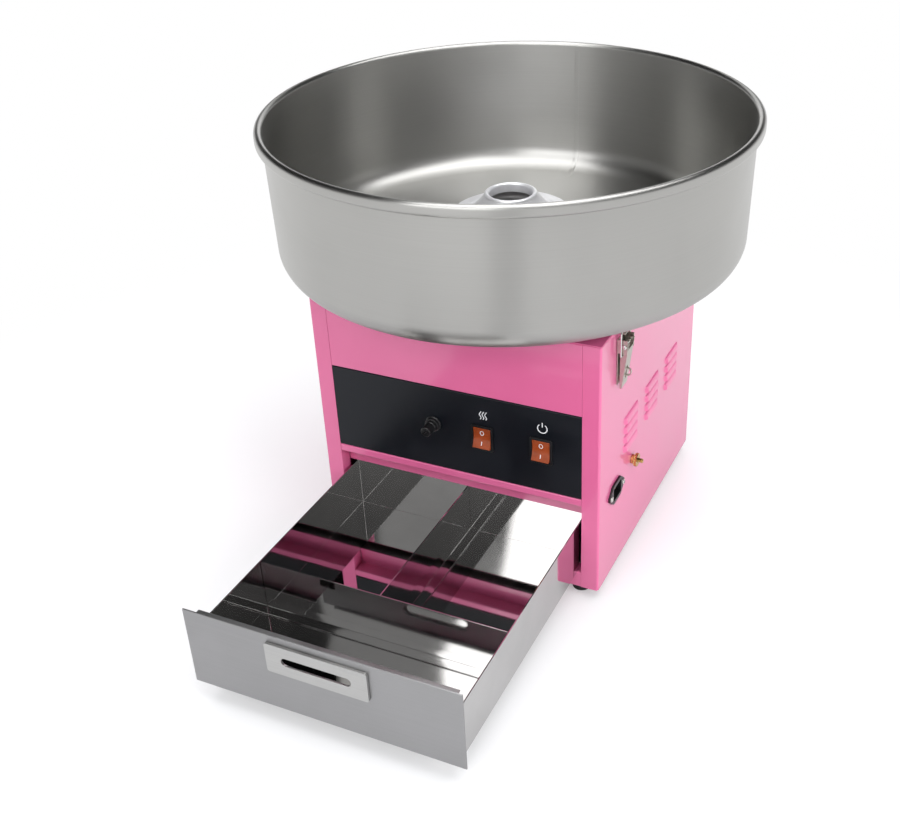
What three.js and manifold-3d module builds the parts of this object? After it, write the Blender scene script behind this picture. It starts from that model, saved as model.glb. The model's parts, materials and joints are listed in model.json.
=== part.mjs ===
// Electric floss machine: a spun bowl on a sheet steel cabinet, a spinning head,
// two toggle latches and a drawer.
// Millimetres. X is right, Y is back and Z is up, seen from the front. The floor is at z = 0.
import * as THREE from 'three';
import { mergeVertices } from 'three/addons/utils/BufferGeometryUtils.js';
import Module from 'manifold-3d';

const wasm = await Module();
wasm.setup();

// Driving dimensions: sheet and fits
const sheet = 1.2; // painted steel and stainless sheet
const seat = 0.3; // gap between pieces that rest on each other

// Cabinet
const cabinetWidth = 326;
const cabinetDepth = 320;
const cabinetTop = 310;
const footHeight = 12;
const footRadius = 10;
const footInsetX = 25; // from the cabinet's side to a foot's centre
const footInsetFront = 17;
const footInsetRear = 22;
const postWidth = 19.4; // front face of a corner post
const postReturn = 16; // how far a post turns back beside the opening
const rearFlange = 16;
const trayLip = 14;
const panelBottom = 127; // control panel
const panelTop = 227;
const panelSeam = 0.4; // open seam between the front panels
const panelReturn = 10;
const railBottom = 118; // underside of the rail over the drawer
const railFlangeBottom = 97.5; // the rail's set-back flange hangs to here
const bottomRailTop = 31.2;
const bayRoofHeight = 99;
const bayRoofHem = 13;
const runnerShelf = 35;
const runnerWall = 29;
const deckFlange = 14;
const deckHoleRadius = 45;

// Louvres: columns of hoods pressed out of each side
const louvreLength = 42;
const louvreHeight = 8;
const louvreProud = 3;
const louvreEndTaper = 4;
const louvreColumns = 3;
const louvreColumnPitch = 69.5;
const louvreRows = 4;
const louvreRowPitch = 11.6;
const louvreMiddleY = 3;
const louvreTopZ = 184;

// Controls
const switchPowerX = 99.5;
const switchHeatX = 33.3;
const switchZ = 177.5;
const rockerWidth = 19.4;
const rockerHeight = 23.2;
const rockerProud = 4.2; // the rocker's tips, ahead of the panel
const rockerDip = 2.4; // how much lower its middle is
const rockerTilt = 8; // degrees either side of level
const rockerPivotDepth = 1; // behind the panel's face
const rockerPinRadius = 1.5;
const switchWall = 1;
const bezelLap = 1.4; // how far the bezel laps the cut-out
const bezelProud = 2;
const switchDepth = 22;
const fuseX = -23.5;
const fuseZ = 182;
const fuseCollarRadius = 9;
const fuseCollarProud = 6;
const fuseCapRadius = 6.5;
const fuseCapProud = 20;
const fuseBodyRadius = 6.2;
const fuseBodyDepth = 28;
const fuseWall = 1.2;
const cartridgeRadius = 2.6;
const cartridgeLength = 20;
const cartridgeInCap = 3; // how far the cap takes in the cartridge's end

// Mains inlet and earth terminal on the right side
const inletY = -111;
const inletZ = 113;
const inletBodyWidth = 27;
const inletBodyHeight = 20;
const inletBodyDepth = 22;
const inletWall = 2.2;
const inletFloor = 6;
const inletFlange = 2.2;
const inletEarRadius = 4.6;
const inletEarReach = 18;
const inletLap = 2;
const inletPinWidth = 4;
const inletPinThickness = 2;
const inletPinPitch = 14;
const earthY = -58.5;
const earthZ = 120;
const earthStudRadius = 2.5;
const earthStudProud = 13;
const earthNutRadius = 7.5;
const earthNutHeight = 7;
const earthCollarRadius = 5.2;
const earthHeadHeight = 3;

// Toggle latches
const latchY = -107;
const latchBaseWidth = 21;
const latchBelowTop = 13; // top of the latch's plate, below the cabinet's top
const latchPlateLength = 51;
const latchEarLength = 15;
const latchEarReach = 11;
const latchPivotReach = 8; // lever pivot, out from the cabinet's side
const latchPivotDrop = 7; // below the plate's top
const latchPinRadius = 1.2;
const latchPinHead = 2.6;
const leverWidth = 17;
const leverAbovePivot = 3.5;
const leverBelowPivot = 49;
const leverInner = 3.2;
const leverOuter = 12.2;
const leverWebDrop = 4; // the lever's web stops this far below its pivot
const leverTipOuter = 5.2; // the web leans in to here at the tip
const leverChamfer = 2.5;
const bailOffset = 2.6; // the bail's pivot lies this much nearer the cabinet than the lever's
const bailDrop = 11; // and this much lower
const bailWire = 1;
const bailHalfWidth = 13;
const bailLength = 27;
const eyeReach = 13; // padlock eye
const eyeHeight = 10;
const eyeDrop = 37.5; // the eye's top, below the pivot
const eyeThickness = 1.6;
const eyeHoleRadius = 3.4;
const eyeSlotBelow = 3; // the lever's slot for the eye, past the eye's ends
const eyeSlotAbove = 2;
const keeperWidth = 18;
const keeperFoot = 15;
const keeperStandoff = 1;
const keeperTongue = 7.5;
const keeperPlay = 0.6;

// Bowl
const rimRadius = 260;
const beadRadius = 4;
const bowlHeight = 152.6;
const bowlStandoff = 12; // underside of the bowl above the cabinet's top
const bowlFloorEdgeRadius = 248.6; // inside of the wall at its foot
const bowlCorner = 26;
const bowlHoleRadius = 72;
const bowlLip = 8;
const seatRingRadius = 86;
const seatRingFlange = 12;

// Floss head and its drive
const headClearance = 8; // head above the underside of the bowl
const headBaseThickness = 3;
const headRadius = 65;
const headRimHeight = 6;
const headHubRadius = 12;
const headHubDrop = 12;
const headHubRise = 6;
const gauzeHeight = 27; // top of the gauze above the underside of the head
const gauzeSlots = 30;
const gauzeSlotWidth = 5.2;
const gauzeRail = 2.4;
const headRingThickness = 4;
const headRingSkirt = 7;
const headRingBore = 42;
const capFootRadius = 50;
const capFootThickness = 1.8;
const capShoulderRadius = 46;
const capLipRadius = 28.5;
const capBore = 24.5;
const capThroat = 21;
const capHeight = 24; // lip of the funnel above the ring
const capThroatDrop = 12;
const capThroatHeight = 3;
const capWall = 3;
const heaterInner = 50;
const heaterOuter = 56.5;
const heaterFolds = 24;
const heaterRibbon = 1;
const heaterHeight = 17;
const shaftRadius = 4;
const shaftIntoMotor = 16;
const shaftAboveBase = 11;
const carrierRadius = 20;
const carrierAboveMotor = 20;
const carrierLength = 48;
const slipRingRadius = 24;
const slipRingHeight = 8;
const slipRingMargin = 14; // first and last ring's middle, from the carrier's ends
const motorRadius = 54;
const motorHeight = 100;
const motorBelowTop = 98; // top of the motor, below the cabinet's top
const motorBossRadius = 15;
const motorBossRise = 6;
const motorCapRound = 6;
const motorFootInset = 12;
const bracketSheet = 2;
const bracketHalfSpan = 80;
const bracketFoot = 16;
const bracketHalfDepth = 50;
const brushBlockInner = 44;
const brushBlockHalfDepth = 12;
const brushBlockMargin = 10;
const brushWidth = 6;
const brushLength = 36;

// Drawer
const drawerOpen = 288; // how far the drawer is pulled out at rest
const drawerWidth = 278.6;
const drawerLength = 314;
const drawerWall = 60.6;
const drawerFrontLap = 2.9; // the front laps each post by this much
const drawerFrontDrop = 4.9; // and hangs this far below the box
const drawerFrontHeight = 90.5;
const drawerFrontFlange = 5.2;
const drawerFlangeLeft = 15.5; // the flange stops this far from the front's left and right ends
const drawerFlangeRight = 4.5;
const drawerTab = 11;
const handleWidth = 108;
const handleHeight = 34;
const handleProud = 3;
const handleBelowTop = 8;
const handleCentreX = -1;
const slotWidth = 74;
const slotHeight = 9.5;
const slotMargin = 3;
const dividerSetback = 111.5; // cross divider, behind the front
const dividerX = 1;
const dividerFoot = 12;

// Derived places
const halfWidth = cabinetWidth / 2;
const halfDepth = cabinetDepth / 2;
const openingHalf = halfWidth - postWidth;
const panelHalf = openingHalf - seat;
const wallTop = cabinetTop - sheet - seat;
const insideHalf = halfWidth - sheet - seat;
const rearInside = halfDepth - sheet - seat; // front face of the rear cover, less its gap
const flangeInside = rearInside - sheet - seat;
const bowlBottom = cabinetTop + bowlStandoff;
const rimTop = bowlBottom + bowlHeight;
const headBaseZ = bowlBottom + headClearance;
const gauzeTop = headBaseZ + gauzeHeight;
const headRingTop = gauzeTop + headRingThickness;
const capTop = headRingTop + capHeight;
const motorTop = cabinetTop - motorBelowTop;
const shaftBottom = motorTop - shaftIntoMotor;
const shaftTop = headBaseZ + shaftAboveBase;
const carrierBottom = motorTop + carrierAboveMotor;
const carrierTop = carrierBottom + carrierLength;
const slipRingLowerZ = carrierBottom + slipRingMargin;
const slipRingUpperZ = carrierTop - slipRingMargin;
const latchBaseTop = cabinetTop - latchBelowTop;
const latchBaseBottom = latchBaseTop - latchPlateLength;
const latchEarBottom = latchBaseTop - latchEarLength;
const latchPivotZ = latchBaseTop - latchPivotDrop;
const leverTop = latchPivotZ + leverAbovePivot;
const leverBottom = latchPivotZ - leverBelowPivot;
const leverWebTop = latchPivotZ - leverWebDrop;
const eyeBottom = latchPivotZ - eyeDrop;
const eyeTop = eyeBottom + eyeHeight;
const drawerBottom = bottomRailTop + seat;
const drawerTop = drawerBottom + drawerWall;
const drawerBack = -halfDepth - seat - drawerOpen; // back face of the drawer's front
const handleReach = -drawerBack + sheet + seat + handleProud;
const originShift = (handleReach - rimRadius) / 2;

// Finishes
const finishes = {
  pinkPaint: { color: 0xe35f9a, roughness: 0.32, metalness: 0.1 },
  blackPaint: { color: 0x17181a, roughness: 0.42, metalness: 0.1 },
  stainless: { color: 0xb4b4b0, roughness: 0.32, metalness: 1 },
  zincSteel: { color: 0xa9aaa8, roughness: 0.4, metalness: 1 },
  latchSteel: { color: 0xc9c6bc, roughness: 0.28, metalness: 1 },
  castAluminium: { color: 0xc8cacc, roughness: 0.45, metalness: 1 },
  gauzeSteel: { color: 0x8f9192, roughness: 0.5, metalness: 1 },
  ribbonAlloy: { color: 0x6d675f, roughness: 0.6, metalness: 1 },
  brass: { color: 0xc79a4a, roughness: 0.3, metalness: 1 },
  copper: { color: 0xb4704a, roughness: 0.35, metalness: 1 },
  carbon: { color: 0x2a2a2b, roughness: 0.7, metalness: 0 },
  blackPlastic: { color: 0x141416, roughness: 0.4, metalness: 0 },
  brownBoard: { color: 0x6b4526, roughness: 0.6, metalness: 0 },
  amberPlastic: { color: 0xe0902c, roughness: 0.25, metalness: 0 },
  rubber: { color: 0x1b1b1c, roughness: 0.85, metalness: 0 },
  fuseGlass: { color: 0xd8dcd8, roughness: 0.1, metalness: 0 },
  motorPaint: { color: 0x4b4e52, roughness: 0.5, metalness: 0.4 },
};

// Solids

function solidOf(geometry) {
  geometry.deleteAttribute('normal');
  geometry.deleteAttribute('uv');
  const merged = mergeVertices(geometry);
  return new wasm.Manifold(new wasm.Mesh({
    numProp: 3,
    vertProperties: new Float32Array(merged.attributes.position.array),
    triVerts: new Uint32Array(merged.index.array),
  }));
}

function geometryOf(solid) {
  const mesh = solid.getMesh();
  const geometry = new THREE.BufferGeometry();
  geometry.setAttribute('position', new THREE.BufferAttribute(mesh.vertProperties, 3));
  geometry.setIndex(new THREE.BufferAttribute(mesh.triVerts, 1));
  geometry.computeVertexNormals();
  return geometry;
}

function block([x0, x1], [y0, y1], [z0, z1]) {
  const geometry = new THREE.BoxGeometry(x1 - x0, y1 - y0, z1 - z0);
  geometry.translate((x0 + x1) / 2, (y0 + y1) / 2, (z0 + z1) / 2);
  return solidOf(geometry);
}

// Extrudes a shape along one axis.
// The shape's own axes are Y and Z along x, X and Z along y, X and Y along z.
function extrude(shape, axis, from, to) {
  const geometry = new THREE.ExtrudeGeometry(shape, { depth: to - from, bevelEnabled: false, curveSegments: 4 });
  const x = new THREE.Vector3(1, 0, 0);
  const y = new THREE.Vector3(0, 1, 0);
  const z = new THREE.Vector3(0, 0, 1);
  const turn = new THREE.Matrix4();
  if (axis === 'x') {
    turn.makeBasis(y, z, x).setPosition(from, 0, 0);
  } else if (axis === 'y') {
    turn.makeBasis(x, z, y.clone().negate()).setPosition(0, to, 0);
  } else {
    turn.setPosition(0, 0, from);
  }
  geometry.applyMatrix4(turn);
  return solidOf(geometry);
}

// Outline of a bent sheet: its outer face follows the path, and its thickness lies to the left of the path.
function bentSheet(path, thickness = sheet) {
  const outer = path.map(([u, v]) => new THREE.Vector2(u, v));
  const last = outer.length - 1;
  const directions = outer.slice(1).map((point, i) => point.clone().sub(outer[i]).normalize());
  const inner = outer.map((corner, i) => {
    const before = directions[Math.max(i - 1, 0)];
    const after = directions[Math.min(i, last - 1)];
    const normal = new THREE.Vector2(-after.y, after.x);
    const mitre = new THREE.Vector2(-before.y, before.x).add(normal).normalize();
    return corner.clone().addScaledVector(mitre, thickness / mitre.dot(normal));
  });
  return new THREE.Shape([...outer, ...inner.reverse()]);
}

// Revolves a closed outline of [radius, height] points about Z.
function revolve(outline, segments = 32) {
  const points = outline.map(([radius, height]) => new THREE.Vector2(radius, height));
  if (THREE.ShapeUtils.area(points) < 0) {
    points.reverse();
  }
  const onAxis = points.findIndex((point, i) => point.x === 0 && points.at(i - 1).x === 0);
  const ordered = onAxis < 0
    ? [...points, points[0].clone()]
    : [...points.slice(onAxis), ...points.slice(0, onAxis)];
  const geometry = new THREE.LatheGeometry(ordered, segments);
  geometry.rotateX(Math.PI / 2);
  return solidOf(geometry);
}

function arcPoints(centreRadius, centreHeight, radius, fromDegrees, toDegrees, steps) {
  return Array.from({ length: steps + 1 }, (_, i) => {
    const angle = THREE.MathUtils.degToRad(fromDegrees + (toDegrees - fromDegrees) * i / steps);
    return [centreRadius + radius * Math.cos(angle), centreHeight + radius * Math.sin(angle)];
  });
}

// A round bar between two heights, before it is turned to lie along another axis.
function bar(radius, from, to, segments = 20) {
  return revolve([[0, from], [radius, from], [radius, to], [0, to]], segments);
}

const alongX = (solid) => solid.rotate([0, 90, 0]);
const alongY = (solid) => solid.rotate([-90, 0, 0]);

function roundedRectangle(width, height, radius) {
  const w = width / 2;
  const h = height / 2;
  const shape = new THREE.Shape();
  shape.absarc(w - radius, h - radius, radius, 0, Math.PI / 2);
  shape.absarc(-w + radius, h - radius, radius, Math.PI / 2, Math.PI);
  shape.absarc(-w + radius, -h + radius, radius, Math.PI, 1.5 * Math.PI);
  shape.absarc(w - radius, -h + radius, radius, 1.5 * Math.PI, 2 * Math.PI);
  return shape;
}

function place(group, name, solid, finish) {
  const mesh = new THREE.Mesh(geometryOf(solid), new THREE.MeshStandardMaterial(finishes[finish]));
  mesh.name = name;
  group.add(mesh);
  return mesh;
}

// Cabinet

// One louvre on the right side: the hood's outside, and the space inside it with the way through the wall.
function louvre() {
  const wedge = (proud, top, bottom, depth) => new THREE.Shape([
    new THREE.Vector2(-depth, bottom),
    ...arcPoints(0, bottom, 1, 0, 90, 3)
      .map(([u, v]) => new THREE.Vector2(u * proud, bottom + (v - bottom) * (top - bottom))),
    new THREE.Vector2(-depth, top),
  ]);
  const plan = (half, taper, proud, depth) => new THREE.Shape([
    new THREE.Vector2(-depth, -half),
    new THREE.Vector2(0, -half),
    new THREE.Vector2(proud, taper - half),
    new THREE.Vector2(proud, half - taper),
    new THREE.Vector2(0, half),
    new THREE.Vector2(-depth, half),
  ]);
  const half = louvreLength / 2;
  const low = -louvreHeight / 2;
  const high = louvreHeight / 2;
  const into = sheet / 2;
  const through = 2 * sheet;
  const hood = extrude(wedge(louvreProud, high, low, into), 'y', -half, half)
    .intersect(extrude(plan(half, louvreEndTaper, louvreProud, into), 'z', low - 1, high + 1));
  const innerHalf = half - sheet;
  const innerProud = louvreProud - sheet;
  const hollow = extrude(wedge(innerProud, high - sheet, low - 1, through), 'y', -innerHalf, innerHalf)
    .intersect(extrude(plan(innerHalf, louvreEndTaper, innerProud, through), 'z', low, high));
  return { hood, hollow };
}

function sidePanel(side) {
  const rightPath = [
    [openingHalf, -halfDepth + postReturn],
    [openingHalf, -halfDepth],
    [halfWidth, -halfDepth],
    [halfWidth, rearInside],
    [halfWidth - rearFlange, rearInside],
  ];
  let panel = extrude(bentSheet(rightPath), 'z', footHeight, wallTop);
  const { hood, hollow } = louvre();
  for (let column = 0; column < louvreColumns; column += 1) {
    for (let row = 0; row < louvreRows; row += 1) {
      const y = louvreMiddleY + (column - (louvreColumns - 1) / 2) * louvreColumnPitch;
      const at = [halfWidth, y, louvreTopZ - row * louvreRowPitch];
      panel = panel.add(hood.translate(at)).subtract(hollow.translate(at));
    }
  }
  return side === 'right' ? panel : panel.mirror([1, 0, 0]);
}

function makeCabinet(machine) {
  const cabinet = new THREE.Group();
  machine.add(cabinet);

  const railPath = [
    [-halfDepth + postReturn, bottomRailTop],
    [-halfDepth, bottomRailTop],
    [-halfDepth, footHeight],
    [rearInside, footHeight],
    [rearInside, footHeight + trayLip],
  ];
  let tray = extrude(bentSheet(railPath), 'x', -panelHalf, panelHalf);
  const wingPath = [
    [panelHalf - sheet, footHeight],
    [insideHalf, footHeight],
    [insideHalf, footHeight + trayLip],
  ];
  const wing = extrude(bentSheet(wingPath), 'y', -halfDepth + postReturn + seat, flangeInside);
  tray = tray.add(wing).add(wing.mirror([1, 0, 0]));
  place(cabinet, 'base_tray', tray, 'pinkPaint');

  const inletCut = block(
    [insideHalf - sheet, halfWidth + sheet],
    [inletY - inletBodyWidth / 2 - seat, inletY + inletBodyWidth / 2 + seat],
    [inletZ - inletBodyHeight / 2 - seat, inletZ + inletBodyHeight / 2 + seat],
  );
  const earthCut = alongX(bar(earthStudRadius + seat, insideHalf - sheet, halfWidth + sheet, 12))
    .translate([0, earthY, earthZ]);
  place(cabinet, 'right_side_panel', sidePanel('right').subtract(inletCut).subtract(earthCut), 'pinkPaint');
  place(cabinet, 'left_side_panel', sidePanel('left'), 'pinkPaint');

  const flange = block(
    [insideHalf - sheet, insideHalf],
    [-halfDepth + postReturn, flangeInside],
    [wallTop + seat - deckFlange, cabinetTop - sheet / 2],
  );
  const deck = block([-halfWidth, halfWidth], [-halfDepth, halfDepth], [cabinetTop - sheet, cabinetTop])
    .add(flange)
    .add(flange.mirror([1, 0, 0]))
    .subtract(bar(deckHoleRadius, cabinetTop - 2 * sheet, cabinetTop + sheet, 32));
  place(cabinet, 'top_deck', deck, 'pinkPaint');

  const coverHem = extrude(
    bentSheet([[halfDepth, footHeight], [halfDepth, wallTop], [halfDepth - bayRoofHem, wallTop]]),
    'x', -halfWidth + rearFlange + seat, halfWidth - rearFlange - seat,
  );
  const cover = block([-halfWidth, halfWidth], [halfDepth - sheet, halfDepth], [footHeight, wallTop]).add(coverHem);
  place(cabinet, 'rear_cover', cover, 'pinkPaint');

  const upperBottom = panelTop + panelSeam / 2;
  const upperPath = [
    [-halfDepth + panelReturn, wallTop],
    [-halfDepth, wallTop],
    [-halfDepth, upperBottom],
    [-halfDepth + panelReturn, upperBottom],
  ];
  place(cabinet, 'front_upper_panel', extrude(bentSheet(upperPath), 'x', -panelHalf, panelHalf), 'pinkPaint');

  const railTop = panelBottom - panelSeam / 2;
  const frontRailPath = [
    [-halfDepth + panelReturn, railTop],
    [-halfDepth, railTop],
    [-halfDepth, railBottom],
    [-halfDepth + postReturn + seat, railBottom],
    [-halfDepth + postReturn + seat, railFlangeBottom],
  ];
  place(cabinet, 'front_rail', extrude(bentSheet(frontRailPath), 'x', -panelHalf, panelHalf), 'pinkPaint');

  const roofFront = -halfDepth + postReturn + 2 * seat + sheet;
  const roofPath = [
    [roofFront, bayRoofHeight + bayRoofHem],
    [roofFront, bayRoofHeight],
    [flangeInside, bayRoofHeight],
    [flangeInside, bayRoofHeight + bayRoofHem],
  ];
  place(cabinet, 'bay_roof', extrude(bentSheet(roofPath), 'x', -insideHalf, insideHalf), 'zincSteel');

  const runnerPath = [
    [insideHalf - runnerShelf, bottomRailTop - sheet],
    [insideHalf, bottomRailTop - sheet],
    [insideHalf, bottomRailTop + runnerWall],
  ];
  const runner = extrude(bentSheet(runnerPath), 'y', -halfDepth + postReturn + seat, flangeInside);
  place(cabinet, 'runner_right', runner, 'zincSteel');
  place(cabinet, 'runner_left', runner.mirror([1, 0, 0]), 'zincSteel');

  const footTop = footHeight - seat;
  const foot = revolve([
    [0, 0],
    [footRadius - 1, 0],
    [footRadius, 1],
    [footRadius - 1.5, footTop],
    [0, footTop],
  ], 16);
  for (const [end, y] of [['front', -halfDepth + footInsetFront], ['rear', halfDepth - footInsetRear]]) {
    for (const [side, x] of [['left', -halfWidth + footInsetX], ['right', halfWidth - footInsetX]]) {
      place(cabinet, `foot_${end}_${side}`, foot, 'rubber').position.set(x, y, 0);
    }
  }
}

// Controls

const switchCutHalfWidth = rockerWidth / 2 + seat + switchWall;
const switchCutHalfHeight = rockerHeight / 2 + 1 + switchWall;

function makeControlPanel(machine) {
  const low = panelBottom + panelSeam / 2;
  const high = panelTop - panelSeam / 2;
  const path = [
    [-halfDepth + panelReturn, high],
    [-halfDepth, high],
    [-halfDepth, low],
    [-halfDepth + panelReturn, low],
  ];
  let panel = extrude(bentSheet(path), 'x', -panelHalf, panelHalf);
  for (const x of [switchPowerX, switchHeatX]) {
    panel = panel.subtract(block(
      [x - switchCutHalfWidth - seat, x + switchCutHalfWidth + seat],
      [-halfDepth - sheet, -halfDepth + 2 * sheet],
      [switchZ - switchCutHalfHeight - seat, switchZ + switchCutHalfHeight + seat],
    ));
  }
  const fuseHole = alongY(bar(fuseBodyRadius + seat, -halfDepth - sheet, -halfDepth + 2 * sheet, 20));
  panel = panel.subtract(fuseHole.translate([fuseX, 0, fuseZ]));
  place(machine, 'control_panel', panel, 'blackPaint');
}

// A rocker switch on the panel's face, which is y = 0 here. The rocker's tips are arcs about its pin.
function makeSwitch(machine, name, x) {
  const group = new THREE.Group();
  group.position.set(x, -halfDepth, switchZ);
  machine.add(group);

  const bezel = roundedRectangle(2 * (switchCutHalfWidth + bezelLap), 2 * (switchCutHalfHeight + bezelLap), 2);
  const cavityWidth = switchCutHalfWidth - switchWall;
  const cavityHeight = switchCutHalfHeight - switchWall;
  const pinHole = alongX(bar(rockerPinRadius + seat, -switchCutHalfWidth - 1, switchCutHalfWidth + 1, 12));
  const housing = extrude(bezel, 'y', -seat - bezelProud, -seat)
    .add(block([-switchCutHalfWidth, switchCutHalfWidth], [-seat - bezelProud / 2, switchDepth],
      [-switchCutHalfHeight, switchCutHalfHeight]))
    .subtract(block(
      [-cavityWidth, cavityWidth],
      [-bezelProud - 1, switchDepth / 2],
      [-cavityHeight, cavityHeight],
    ))
    .subtract(pinHole.translate([0, rockerPivotDepth, 0]));
  place(group, `${name}_housing`, housing, 'blackPlastic');

  const tip = rockerHeight / 2;
  const front = -rockerProud - rockerPivotDepth;
  const dip = front + rockerDip;
  const profile = new THREE.Shape();
  profile.moveTo(front, tip);
  profile.quadraticCurveTo(dip, tip / 2, dip, 0);
  profile.quadraticCurveTo(dip, -tip / 2, front, -tip);
  profile.lineTo(1, -tip);
  profile.lineTo(5, -tip / 2);
  profile.lineTo(5, tip / 2);
  profile.lineTo(1, tip);
  const pin = alongX(bar(rockerPinRadius, -switchCutHalfWidth + seat, switchCutHalfWidth - seat, 12));
  const rocker = place(group, `${name}_rocker`,
    extrude(profile, 'x', -rockerWidth / 2, rockerWidth / 2).add(pin), 'amberPlastic');
  rocker.position.y = rockerPivotDepth;
  rocker.rotation.x = THREE.MathUtils.degToRad(-rockerTilt);
}

function makeFuse(machine) {
  const group = new THREE.Group();
  group.position.set(fuseX, -halfDepth, fuseZ);
  group.rotation.x = -Math.PI / 2;
  machine.add(group);

  const bore = fuseBodyRadius - fuseWall;
  const stem = bore - seat;
  const capInner = -fuseCollarProud - seat;
  const stemEnd = -1;
  const cartridgeFront = capInner - cartridgeInCap;
  const holder = revolve([
    [bore, -fuseCollarProud],
    [fuseCollarRadius - 1, -fuseCollarProud],
    [fuseCollarRadius, -fuseCollarProud + 1],
    [fuseCollarRadius, -seat],
    [fuseBodyRadius, -seat],
    [fuseBodyRadius, fuseBodyDepth],
    [0, fuseBodyDepth],
    [0, fuseBodyDepth - fuseWall],
    [bore, fuseBodyDepth - fuseWall],
  ], 16);
  place(group, 'fuse_holder', holder, 'blackPlastic');

  const cap = revolve([
    [0, -fuseCapProud],
    [fuseCapRadius - 1, -fuseCapProud],
    [fuseCapRadius, -fuseCapProud + 1],
    [fuseCapRadius, capInner],
    [stem, capInner],
    [stem, stemEnd],
    [cartridgeRadius + seat, stemEnd],
    [cartridgeRadius + seat, cartridgeFront - seat],
    [0, cartridgeFront - seat],
  ], 16);
  place(group, 'fuse_cap', cap, 'blackPlastic');
  const cartridge = bar(cartridgeRadius, cartridgeFront, cartridgeFront + cartridgeLength, 12);
  place(group, 'fuse_cartridge', cartridge, 'fuseGlass');
}

// Mains inlet and earth terminal: x = 0 here is the side's outer face, and +X points out.

function makeInlet(machine) {
  const group = new THREE.Group();
  group.position.set(halfWidth, inletY, inletZ);
  machine.add(group);

  const cornerY = inletBodyWidth / 2 - 3;
  const cornerZ = inletBodyHeight / 2 + inletLap;
  const outline = new THREE.Shape();
  outline.absarc(inletEarReach, 0, inletEarRadius, -Math.PI / 3, Math.PI / 3);
  outline.lineTo(cornerY, cornerZ);
  outline.lineTo(-cornerY, cornerZ);
  outline.absarc(-inletEarReach, 0, inletEarRadius, 2 * Math.PI / 3, 4 * Math.PI / 3);
  outline.lineTo(-cornerY, -cornerZ);
  outline.lineTo(cornerY, -cornerZ);
  const mouthHalfWidth = inletBodyWidth / 2 - inletWall;
  const mouthHalfHeight = inletBodyHeight / 2 - inletWall;
  const socketFloor = -inletBodyDepth + inletFloor;
  let socket = extrude(outline, 'x', seat, seat + inletFlange)
    .add(block([-inletBodyDepth, seat + inletFlange / 2], [-inletBodyWidth / 2, inletBodyWidth / 2],
      [-inletBodyHeight / 2, inletBodyHeight / 2]))
    .subtract(block([socketFloor, seat + inletFlange + 1], [-mouthHalfWidth, mouthHalfWidth],
      [-mouthHalfHeight, mouthHalfHeight]));
  const blade = (grow, from, to) => block([from, to], [-inletPinThickness / 2 - grow, inletPinThickness / 2 + grow],
    [-inletPinWidth / 2 - grow, inletPinWidth / 2 + grow]);
  const pins = [
    ['inlet_pin_line', -inletPinPitch / 2, -inletPinWidth / 3],
    ['inlet_pin_earth', 0, inletPinWidth / 3],
    ['inlet_pin_neutral', inletPinPitch / 2, -inletPinWidth / 3],
  ];
  for (const [name, y, z] of pins) {
    socket = socket.subtract(blade(seat, -inletBodyDepth - 1, socketFloor + 1).translate([0, y, z]));
    place(group, name, blade(0, -inletBodyDepth - 8, -2), 'brass').position.set(0, y, z);
  }
  place(group, 'inlet_socket', socket, 'blackPlastic');

  const earth = new THREE.Group();
  earth.position.set(halfWidth, earthY, earthZ);
  earth.rotation.y = Math.PI / 2;
  machine.add(earth);
  const headFace = -sheet - seat;
  const stud = revolve([
    [0, headFace - earthHeadHeight],
    [2 * earthStudRadius, headFace - earthHeadHeight],
    [2 * earthStudRadius, headFace],
    [earthStudRadius, headFace],
    [earthStudRadius, earthStudProud],
    [0, earthStudProud],
  ], 12);
  place(earth, 'earth_stud', stud, 'brass');
  const nutBore = earthStudRadius + seat;
  const nut = revolve([
    [nutBore, seat],
    [earthCollarRadius, seat],
    [earthCollarRadius, seat + earthNutHeight / 2],
    [earthNutRadius, seat + earthNutHeight / 2],
    [earthNutRadius, seat + earthNutHeight],
    [nutBore, seat + earthNutHeight],
  ], 12);
  place(earth, 'earth_nut', nut, 'brass');
}

// Toggle latch: x = 0 here is the cabinet's side, +X points out, y = 0 is the latch's middle plane.

// A wire bent with small round corners, as one tube.
function bentWire(points, radius, bend, steps) {
  const path = new THREE.CurvePath();
  let from = points[0];
  points.slice(1, -1).forEach((corner, i) => {
    const before = corner.clone().sub(points[i]).normalize();
    const after = points[i + 2].clone().sub(corner).normalize();
    const start = corner.clone().addScaledVector(before, -bend);
    const end = corner.clone().addScaledVector(after, bend);
    path.add(new THREE.LineCurve3(from, start));
    path.add(new THREE.QuadraticBezierCurve3(start, corner, end));
    from = end;
  });
  path.add(new THREE.LineCurve3(from, points.at(-1)));
  const section = new THREE.Shape(arcPoints(0, 0, radius, 0, 300, 5).map(([u, v]) => new THREE.Vector2(u, v)));
  return solidOf(new THREE.ExtrudeGeometry(section, { extrudePath: path, steps, bevelEnabled: false }));
}

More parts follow.
